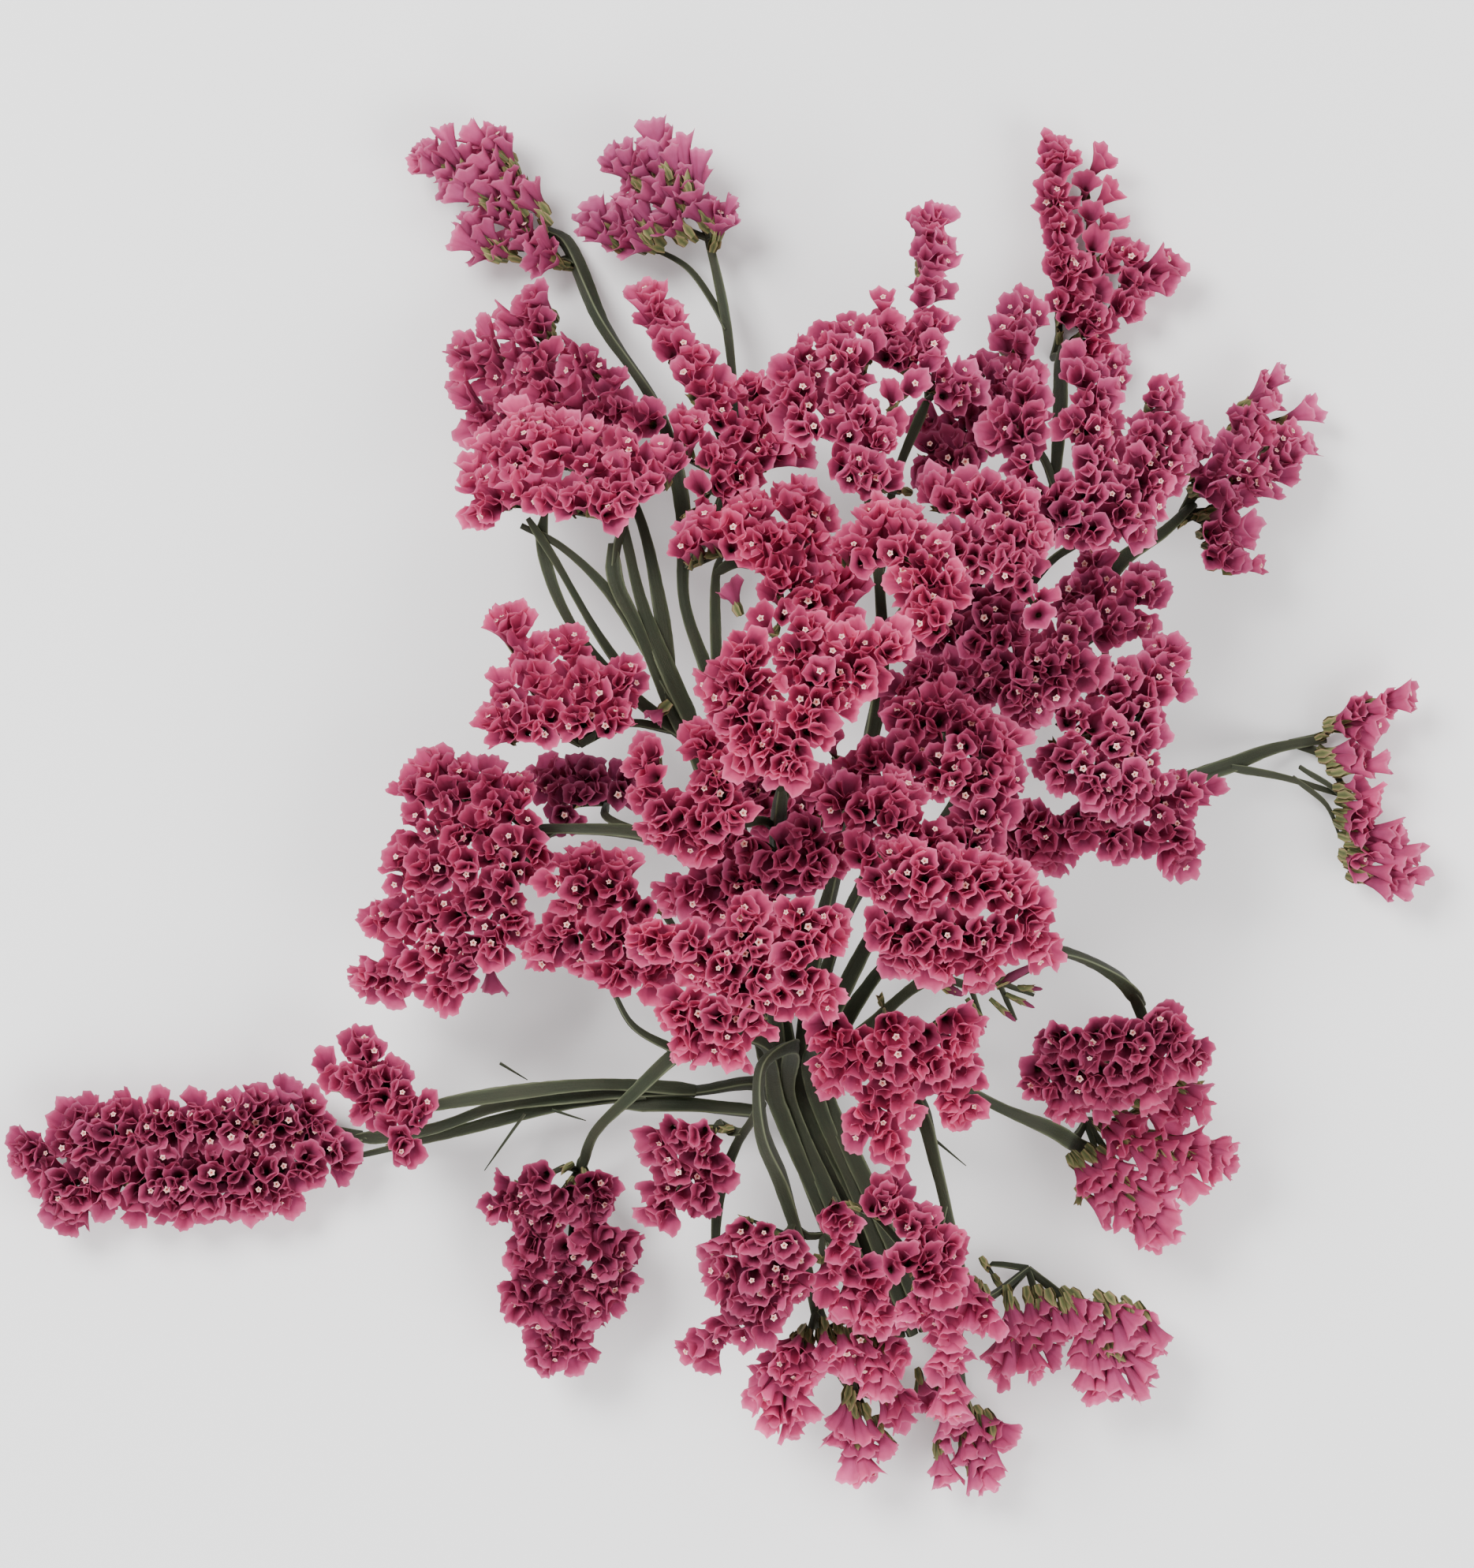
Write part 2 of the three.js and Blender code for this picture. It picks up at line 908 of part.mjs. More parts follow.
// The cells whose middles lie close enough to a comb
function cellsOf(head) {
  const lattice = latticeOf(head);
  const combs = head.combs.map(([rows, ...points]) => {
    const curve = smoothCurve(points.map(([x, y]) => new THREE.Vector3(x, y, 0)));
    const end = Math.max(1 - TIP_BACK / curve.getLength(), LEAST_SHARE);
    const samples = Array.from({ length: COMB_STEPS + 1 }, (_, i) => {
      return curve.getPointAt((end * i) / COMB_STEPS);
    });
    return { reach: rows === 1 ? ONE_ROW_REACH : TWO_ROWS_REACH, samples };
  });
  const near = (place) => combs.some(({ reach, samples }) => {
    return samples.some((sample) => Math.hypot(sample.x - place.x, sample.y - place.y) < reach);
  });
  const cells = [];
  for (let q = -LATTICE_SPAN; q <= LATTICE_SPAN; q += 1) {
    for (let r = -LATTICE_SPAN; r <= LATTICE_SPAN; r += 1) {
      if (near(latticePlace(lattice, q, r))) {
        cells.push([q, r]);
      }
    }
  }
  return cells;
}

// A sheet of calyxes: every cell has a dished mouth with a ruffled rim, whose walls run down to
// valleys that it shares with its neighbours. Underneath, each cell ends in one low point
function sheetSolid(head, number, cells, grow) {
  const lattice = latticeOf(head);
  const [azimuth, elevation] = head.face;
  const axis = direction([azimuth, Math.max(elevation, LOWEST_LEAN)]);
  const middle = middleOf(head.combs.flatMap(([, ...points]) => points));
  const places = [];
  const triangles = [];
  const corners = new Map();
  const floors = new Map(cells.map(([q, r], i) => [`${q},${r}`, i]));

  // Heights run along the head's axis, depths square to its base. The sheet spreads with height
  const add = (place, height) => {
    const spread = place.clone().sub(middle).multiplyScalar((SPLAY * height) / MOUTH_HEIGHT);
    const base = basePlace(head, place.x, place.y);
    base.add(new THREE.Vector3(spread.x, spread.y, 0));
    base.addScaledVector(height < 0 ? squareAt(head, place) : axis, height);
    places.push(base);
    return places.length - 1;
  };
  const seedOf = (q, r) => 900 * number + 31 * Math.round(3 * q) + 7 * Math.round(3 * r);
  const wandered = (q, r) => {
    const place = latticePlace(lattice, q, r);
    const seed = seedOf(q, r);
    return place.add(new THREE.Vector2(sway(seed, CELL_WANDER), sway(seed + 0.5, CELL_WANDER)));
  };
  const away = (from, to, size) => {
    const step = to.clone().sub(from);
    return from.clone().addScaledVector(step, size + grow / step.length());
  };

  for (const [q, r] of cells) {
    add(wandered(q, r), -SHEET_UNDER - grow);
  }
  cells.forEach(([q, r], cell) => {
    const foot = wandered(q, r);
    const dish = add(foot, DISH_HEIGHT + grow);
    const rim = [];
    const valley = [];
    NEIGHBOURS.forEach(([dq, dr], side) => {
      const [eq, er] = NEIGHBOURS[(side + 1) % 6];
      const [cq, cr] = [q + (dq + eq) / 3, r + (dr + er) / 3];
      const key = `${Math.round(3 * cq)},${Math.round(3 * cr)}`;
      const corner = wandered(cq, cr);
      if (!corners.has(key)) {
        corners.set(key, add(away(foot, corner, 1), grow ? -SHEET_UNDER - grow : VALLEY_HEIGHT));
      }
      valley.push(corners.get(key));
      const seed = seedOf(q, r) + side + 1;
      const mouth = away(foot, corner, MOUTH_SIZE + sway(seed, MOUTH_SWAY));
      rim.push(add(mouth, MOUTH_HEIGHT + grow + sway(seed + 0.3, MOUTH_RUFFLE)));
    });
    for (let side = 0; side < 6; side += 1) {
      const before = (side + 5) % 6;
      triangles.push([dish, rim[before], rim[side]]);
      triangles.push([rim[before], valley[before], valley[side]], [rim[before], valley[side], rim[side]]);
      const [right, left] = [side, (side + 1) % 6].map((k) => {
        return floors.get(`${q + NEIGHBOURS[k][0]},${r + NEIGHBOURS[k][1]}`);
      });
      if (right === undefined) {
        triangles.push([valley[side], valley[before], cell]);
      }
      const present = [right, left].filter((other) => other !== undefined);
      if (present.length && present.every((other) => other > cell)) {
        triangles.push([cell, left ?? valley[side], right ?? valley[side]]);
      }
    }
  });
  return solidFrom(geometryOf(places, triangles));
}

// The largest group of cells that hold together
function heldTogether(cells) {
  const waiting = new Set(cells.map((cell) => cell.join()));
  const groups = [];
  while (waiting.size) {
    const group = [];
    const next = [[...waiting][0].split(",").map(Number)];
    waiting.delete(next[0].join());
    while (next.length) {
      const [q, r] = next.pop();
      group.push([q, r]);
      for (const [dq, dr] of NEIGHBOURS) {
        const key = [q + dq, r + dr].join();
        if (waiting.delete(key)) {
          next.push([q + dq, r + dr]);
        }
      }
    }
    groups.push(group);
  }
  groups.sort((a, b) => b.length - a.length);
  return groups[0];
}

function keelSection(size) {
  return [
    [-KEEL_HALF_WIDTH * size, -KEEL_GAP],
    [0, -KEEL_GAP - KEEL_DEPTH * size],
    [KEEL_HALF_WIDTH * size, -KEEL_GAP],
  ];
}

// The leafy keel under a comb, as one solid with the stalk whose curve runs into it
function keelSolid(head, points, stalk, radius) {
  const curve = combCurve(head, points);
  const start = Math.min(KEEL_START / curve.getLength(), LEAST_SHARE);
  const rings = ringsAlong(curve, start, (place) => squareAt(head, place), keelSection(1));
  rings[rings.length - 1].section = keelSection(KEEL_TIP);
  const side = rings[0].across;
  const before = stalk.points.map((place, i) => {
    const along = stalk.getTangent(i / (stalk.points.length - 1));
    const across = side.clone().addScaledVector(along, -side.dot(along)).normalize();
    const up = new THREE.Vector3().crossVectors(across, along);
    return { place, up, across, section: roundSection(radius, THIN_SIDES) };
  });
  return sweep([...before, ...rings]);
}

// A stem's course: its cut end and its place in the bundle up to the neck, then its own points
function stemCourse(stem) {
  const end = vector(CUT_END);
  const neck = vector(NECK);
  const bundle = neck.clone().sub(end).normalize();
  const shift = new THREE.Vector3(bundle.y, -bundle.x, 0).normalize();
  const [column, layer] = stem.slot;
  shift.multiplyScalar(column * BUNDLE_PITCH);
  shift.z += layer * BUNDLE_PITCH;
  const straight = BUNDLE_SHARES.map((share) => end.clone().lerp(neck, share).add(shift));
  return [...straight, ...stem.path.map(vector)];
}

// The end of a head's branch, a little behind the feet of its combs
function hubOf(head) {
  const heart = middleOf(head.combs.map(([, foot]) => foot));
  const hub = basePlace(head, heart.x, heart.y).addScaledVector(direction(head.face), -HUB_DEPTH);
  hub.z = Math.max(hub.z, BRANCH_RADIUS);
  return hub;
}

// The nearest place to a hub on a course that a branch may leave, past a share of the course
function nearestOn({ course, from }, hub) {
  const curve = smoothCurve(course);
  const length = curve.getLength();
  let nearest = from;
  for (let t = from; t <= 1; t += SEARCH_STEP) {
    if (curve.getPointAt(t).distanceTo(hub) < curve.getPointAt(nearest).distanceTo(hub)) {
      nearest = t;
    }
  }
  return { curve, length, from, nearest, reach: curve.getPointAt(nearest).distanceTo(hub) };
}

// The courses that a stem's branches may leave: its own past the neck, and its twigs
function coursesOf(stem) {
  const course = stemCourse(stem);
  const pastNeck = course.slice(0, BUNDLE_SHARES.length + 1);
  const neckShare = smoothCurve(pastNeck).getLength() / smoothCurve(course).getLength();
  const twigs = (stem.twigs ?? []).map(([, ...points]) => ({ course: points.map(vector), from: PAST_NECK }));
  return [{ course, from: neckShare + PAST_NECK }, ...twigs];
}

// A branch leaves the course that comes nearest to the head's hub, some way before the head, and
// bends smoothly to the hub
function branchCourse(stem, hub) {
  const near = coursesOf(stem).map((one) => nearestOn(one, hub)).sort((a, b) => a.reach - b.reach);
  const { curve, length, from, nearest, reach } = near[0];
  const leave = Math.max(nearest - (BRANCH_LEAD * reach) / length, from);
  const start = curve.getPointAt(leave);
  const bend = start.clone().addScaledVector(curve.getTangentAt(leave), reach * BRANCH_RUN);
  return [start, bend.lerp(hub, BRANCH_TURN), hub];
}

// The combs with a keel of their own. The first is the one that best keeps the branch's direction
function keeledCombs(head, along) {
  const combs = head.combs.filter(([rows]) => rows > 1).map(([, ...points]) => points);
  const turn = (points) => along.angleTo(combCurve(head, points).getTangent(0));
  return combs.sort((a, b) => turn(a) - turn(b)).slice(0, MOST_KEELS);
}

// What is left above the surface that the bunch lies on, as the one body that holds together
function finished(solid) {
  const bodies = solid.trimByPlane([0, 0, 1], 0).simplify(FINEST_EDGE).decompose();
  bodies.sort((a, b) => b.volume() - a.volume());
  return bodies[0];
}

function stemSolid(stem) {
  const pieces = [rod(stemCourse(stem), STEM_RADIUS, STEM_SIDES)];
  for (const [radius, ...points] of stem.twigs ?? []) {
    pieces.push(rod(points.map(vector), radius, THIN_SIDES));
  }
  for (const head of HEADS.filter((one) => one.stem === stem.name)) {
    const branch = smoothCurve(branchCourse(stem, hubOf(head)));
    const [main, ...others] = keeledCombs(head, branch.getTangent(1));
    pieces.push(keelSolid(head, main, branch, BRANCH_RADIUS));
    others.forEach((points, i) => {
      const back = Math.min(((i + 1) * STALK_PITCH) / branch.getLength(), FURTHEST_BACK);
      const root = branch.getPointAt(1 - back);
      const below = combCurve(head, points).getPoint(STALK_AIM);
      below.z -= KEEL_GAP + KEEL_DEPTH;
      const stalk = smoothCurve([root, root.clone().lerp(below, STALK_REACH)]);
      pieces.push(keelSolid(head, points, stalk, STALK_RADIUS));
    });
  }
  return finished(wasm.Manifold.union(pieces));
}

// Whether two solids share more than a graze, which the space kept between solids allows for
function meets(a, b) {
  const boxA = a.boundingBox();
  const boxB = b.boundingBox();
  const near = [0, 1, 2].every((k) => boxA.min[k] < boxB.max[k] && boxB.min[k] < boxA.max[k]);
  return near && a.intersect(b).volume() > GRAZE_VOLUME;
}

// A head: the calyxes that find room beside everything that is already there
function headSolid(head, number, taken) {
  const roomy = cellsOf(head).filter((cell) => {
    const room = sheetSolid(head, number, [cell], GAP);
    return !taken.some((other) => meets(room, other));
  });
  return finished(sheetSolid(head, number, heldTogether(roomy), 0));
}

const bunch = new THREE.Group();

function addPiece(name, solid, colour, roughness) {
  const material = new THREE.MeshStandardMaterial({ color: colour, roughness, metalness: 0 });
  const geometry = geometryFrom(solid).translate(-BOX_MIDDLE[0], -BOX_MIDDLE[1], 0);
  const piece = new THREE.Mesh(geometry, material);
  piece.name = name;
  bunch.add(piece);
}

const taken = [];
for (const stem of STEMS) {
  const solid = stemSolid(stem);
  addPiece(`stem_${stem.name}`, solid, STEM_COLOUR, 0.8);
  taken.push(solid);
}
const fromTheTop = [...HEADS].sort((a, b) => b.height - a.height);
fromTheTop.forEach((head, number) => {
  const solid = headSolid(head, number, taken);
  addPiece(`head_${head.name}`, solid, CALYX_COLOUR, 0.9);
  taken.push(solid);
});

export default bunch;
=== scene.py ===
# %% [markdown]
# # A dried statice bunch, dressed in Blender
# Statice is a sea lavender. Its winged green stems fork into sprays, and each spray carries
# combs of papery pink funnels called calyxes. The solids of the bunch come from CAD as plain
# sheets and rods. This lesson replaces each of them with finer pieces on the same courses. The
# plant is described in millimetres, and the floor, the lights and the camera in metres.

# %% The frame
from collections import namedtuple
from math import cos, pi, radians, sin, sqrt, tan

import bpy
import numpy as np
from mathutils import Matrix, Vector
from mathutils.bvhtree import BVHTree


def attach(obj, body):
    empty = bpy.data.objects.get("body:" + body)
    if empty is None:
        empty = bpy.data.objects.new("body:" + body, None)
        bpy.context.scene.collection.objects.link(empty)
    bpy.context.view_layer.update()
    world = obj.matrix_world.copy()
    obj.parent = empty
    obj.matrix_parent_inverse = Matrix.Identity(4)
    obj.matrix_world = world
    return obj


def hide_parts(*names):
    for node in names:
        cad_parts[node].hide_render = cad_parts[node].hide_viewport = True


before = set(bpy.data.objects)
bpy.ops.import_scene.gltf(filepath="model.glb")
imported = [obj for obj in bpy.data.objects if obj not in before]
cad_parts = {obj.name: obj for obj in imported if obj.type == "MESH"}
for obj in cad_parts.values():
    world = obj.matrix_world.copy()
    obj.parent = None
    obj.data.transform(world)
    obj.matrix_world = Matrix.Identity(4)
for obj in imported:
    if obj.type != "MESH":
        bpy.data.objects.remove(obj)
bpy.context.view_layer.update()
print("solids in the frame:", len(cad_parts))

# %% [markdown]
# ## Where everything grows
# A spray is easiest to describe by the lines that its combs follow, seen from above, and by the
# height of the spray. The stems are lines in space. Seen from above, both were read from the
# photograph. Their heights are a guess, from what lies over what. The solids follow the
# same lines, so the finer pieces land on them. A few thin axes and short side combs are listed
# apart. They were read last, and no solid stands for them.
#
# A stem has its slot in the cut bundle, its path from the neck on, and twigs, which start with
# their radius. A head has its stem, its height, the azimuth and elevation in degrees that it
# faces, a tone from deep to pale, a share of lilac in its pink, and its combs, each from its foot
# to its tip.

# %% The lines of the stems
MM = 0.001
BOX_MIDDLE = np.array([-7.1, -5.45, 0.0])
CUT_END = np.array([47.0, -160.0, 1.7])
NECK = np.array([19.0, -89.0, 10.0])
BUNDLE_PITCH = 3.75

Stem = namedtuple("Stem", "slot path twigs")
STEMS = {
    "left": Stem(
        slot=(-2, 0),
        path=[(6, -86, 17), (-12, -88, 18), (-39, -89, 18), (-67, -92, 17), (-88, -99, 13),
            (-110, -102, 4)],
        twigs=[
            (1.3, (-12, -88, 18), (-39, -86, 22), (-64, -88, 24), (-84, -91, 24), (-91, -93, 24)),
            (1.0, (-26, -89, 18), (-53, -93, 15), (-85, -101, 10), (-108, -107, 4)),
        ],
    ),
    "upper_left": Stem(
        slot=(-1, 0),
        path=[(3, -42, 24), (-11, 5, 32), (-19, 21, 36), (-28, 44, 40), (-34, 57, 41),
            (-35, 68, 41)],
        twigs=[
            (1.2, (-19, 21, 36), (-22, 50, 36), (-29, 79, 34), (-42, 95, 24), (-50, 105, 17)),
            (1.1, (-15, 13, 34), (-30, 25, 36), (-48, 47, 38), (-55, 68, 38), (-54, 77, 42)),
            (1.0, (-16, 21, 36), (-37, 55, 40), (-51, 68, 40), (-61, 73, 40)),
        ],
    ),
    "top_left": Stem(
        slot=(0, 0),
        path=[(9, -42, 26), (-2, -1, 30), (-7, 26, 30), (-15, 52, 30), (-15, 77, 28),
            (-21, 104, 24), (-39, 133, 14), (-50, 157, 4.2), (-55, 160, 2.4)],
        twigs=[
            (0.9, (-6, 21, 31), (-6, 59, 46), (-4, 65, 56)),
            (0.9, (-14, 61, 31), (-2, 88, 30), (-2, 125, 18), (-9, 160, 7), (-12, 166, 4.2)),
            (0.6, (-3, 130, 16.5), (-7, 138, 12.5), (-15, 149, 8), (-28, 156, 5)),
            (0.9, (6, -30, 27), (4, -22, 18), (1, -13, 7.5), (2, -6, 4)),
        ],
    ),
    "upper_right": Stem(
        slot=(1, 0),
        path=[(28, -46, 26), (50, -4, 32), (68, 32, 34), (86, 66, 34), (92, 98, 24), (94, 126, 8)],
        twigs=[],
    ),
    "far_right": Stem(
        slot=(2, 0),
        path=[(40, -55, 22), (71, -28, 26), (100, -6, 28), (125, 1, 24), (139, 5, 19),
            (154, 10, 7), (170, 13, 2.4)],
        twigs=[
            (0.8, (141, 5, 18), (157, 2, 10), (174, -3, 2.6)),
        ],
    ),
    "mid_left": Stem(
        slot=(-2, 1),
        path=[(3, -53, 36), (-8, -28, 46), (-15, -20, 46), (-25, -15, 43), (-45, -13, 38),
            (-60, -13, 32)],
        twigs=[],
    ),
    "centre_left": Stem(
        slot=(-1, 1),
        path=[(11, -59, 42), (12, -34, 62), (11, -14, 76), (12, -1, 96)],
        twigs=[],
    ),
    "top_middle": Stem(
        slot=(0, 1),
        path=[(23, -46, 42), (34, -1, 52), (40, 32, 58), (39, 65, 60), (37, 84, 64)],
        twigs=[],
    ),
    "right": Stem(
        slot=(1, 1),
        path=[(37, -46, 40), (63, -4, 46), (88, 30, 44), (108, 62, 32), (121, 71, 26),
            (131, 80, 14)],
        twigs=[],
    ),
    "lower_right": Stem(
        slot=(2, 1),
        path=[(41, -66, 33), (56, -53, 62), (73, -47, 76), (86, -46, 75), (95, -48, 68),
            (108, -55, 54), (114, -62, 44)],
        twigs=[
            (0.7, (56, -53, 62), (65, -56, 60), (73, -55, 59), (82, -52, 58)),
            (0.6, (65, -56, 60), (69, -67, 58)),
            (0.6, (73, -55, 59), (78, -66, 57)),
            (0.6, (73, -55, 59), (83, -59, 57)),
        ],
    ),
    "lower_left": Stem(
        slot=(-2, 2),
        path=[(7, -73, 48), (-7, -70, 50), (-16, -76, 44), (-29, -88, 34), (-40, -99, 24),
            (-44, -109, 12)],
        twigs=[
            (0.8, (-16, -76, 44), (-29, -68, 54), (-35, -57, 64)),
        ],
    ),
    "bottom": Stem(
        slot=(-1, 2),
        path=[(15, -73, 62), (7, -78, 72), (7, -96, 66), (13, -112, 54), (19, -133, 40),
            (25, -157, 20), (34, -176, 8)],
        twigs=[
            (0.9, (7, -89, 68), (4, -95, 50), (0, -102, 37), (-4, -113, 30), (-6, -126, 26),
                (-6, -145, 24)),
        ],
    ),
    "bottom_right": Stem(
        slot=(1, 2),
        path=[(25, -72, 58), (41, -76, 66), (51, -89, 66), (56, -107, 62), (60, -125, 54),
            (63, -144, 38), (63, -163, 11), (65, -176, 2.4)],
        twigs=[],
    ),
    "low_right": Stem(
        slot=(2, 2),
        path=[(35, -76, 46), (49, -75, 50), (60, -83, 46), (74, -91, 38), (89, -98, 28),
            (98, -104, 14), (104, -106, 10)],
        twigs=[],
    ),
}
THIN_AXES = {
    "left": [
        (1.4, (7, -94, 20), (-4, -93, 18), (-17, -92, 17), (-33, -92, 16)),
        (1.3, (-108, -102, 4), (-150, -103, 3.2), (-194, -107, 2.4)),
    ],
    "upper_left": [
        (1.4, (-12, 14, 34), (-20, 32, 37), (-27, 51, 39), (-32, 73, 42)),
        (0.9, (-30, 28, 36), (-40, 43, 38), (-52, 64, 40), (-59, 75, 42)),
    ],
    "far_right": [
        (0.5, (160, 2, 9), (170, -6, 6), (174, -15, 4)),
        (0.5, (162, 5, 9), (174, -3, 5), (178, -12, 4)),
    ],
}
print("stems:", len(STEMS))

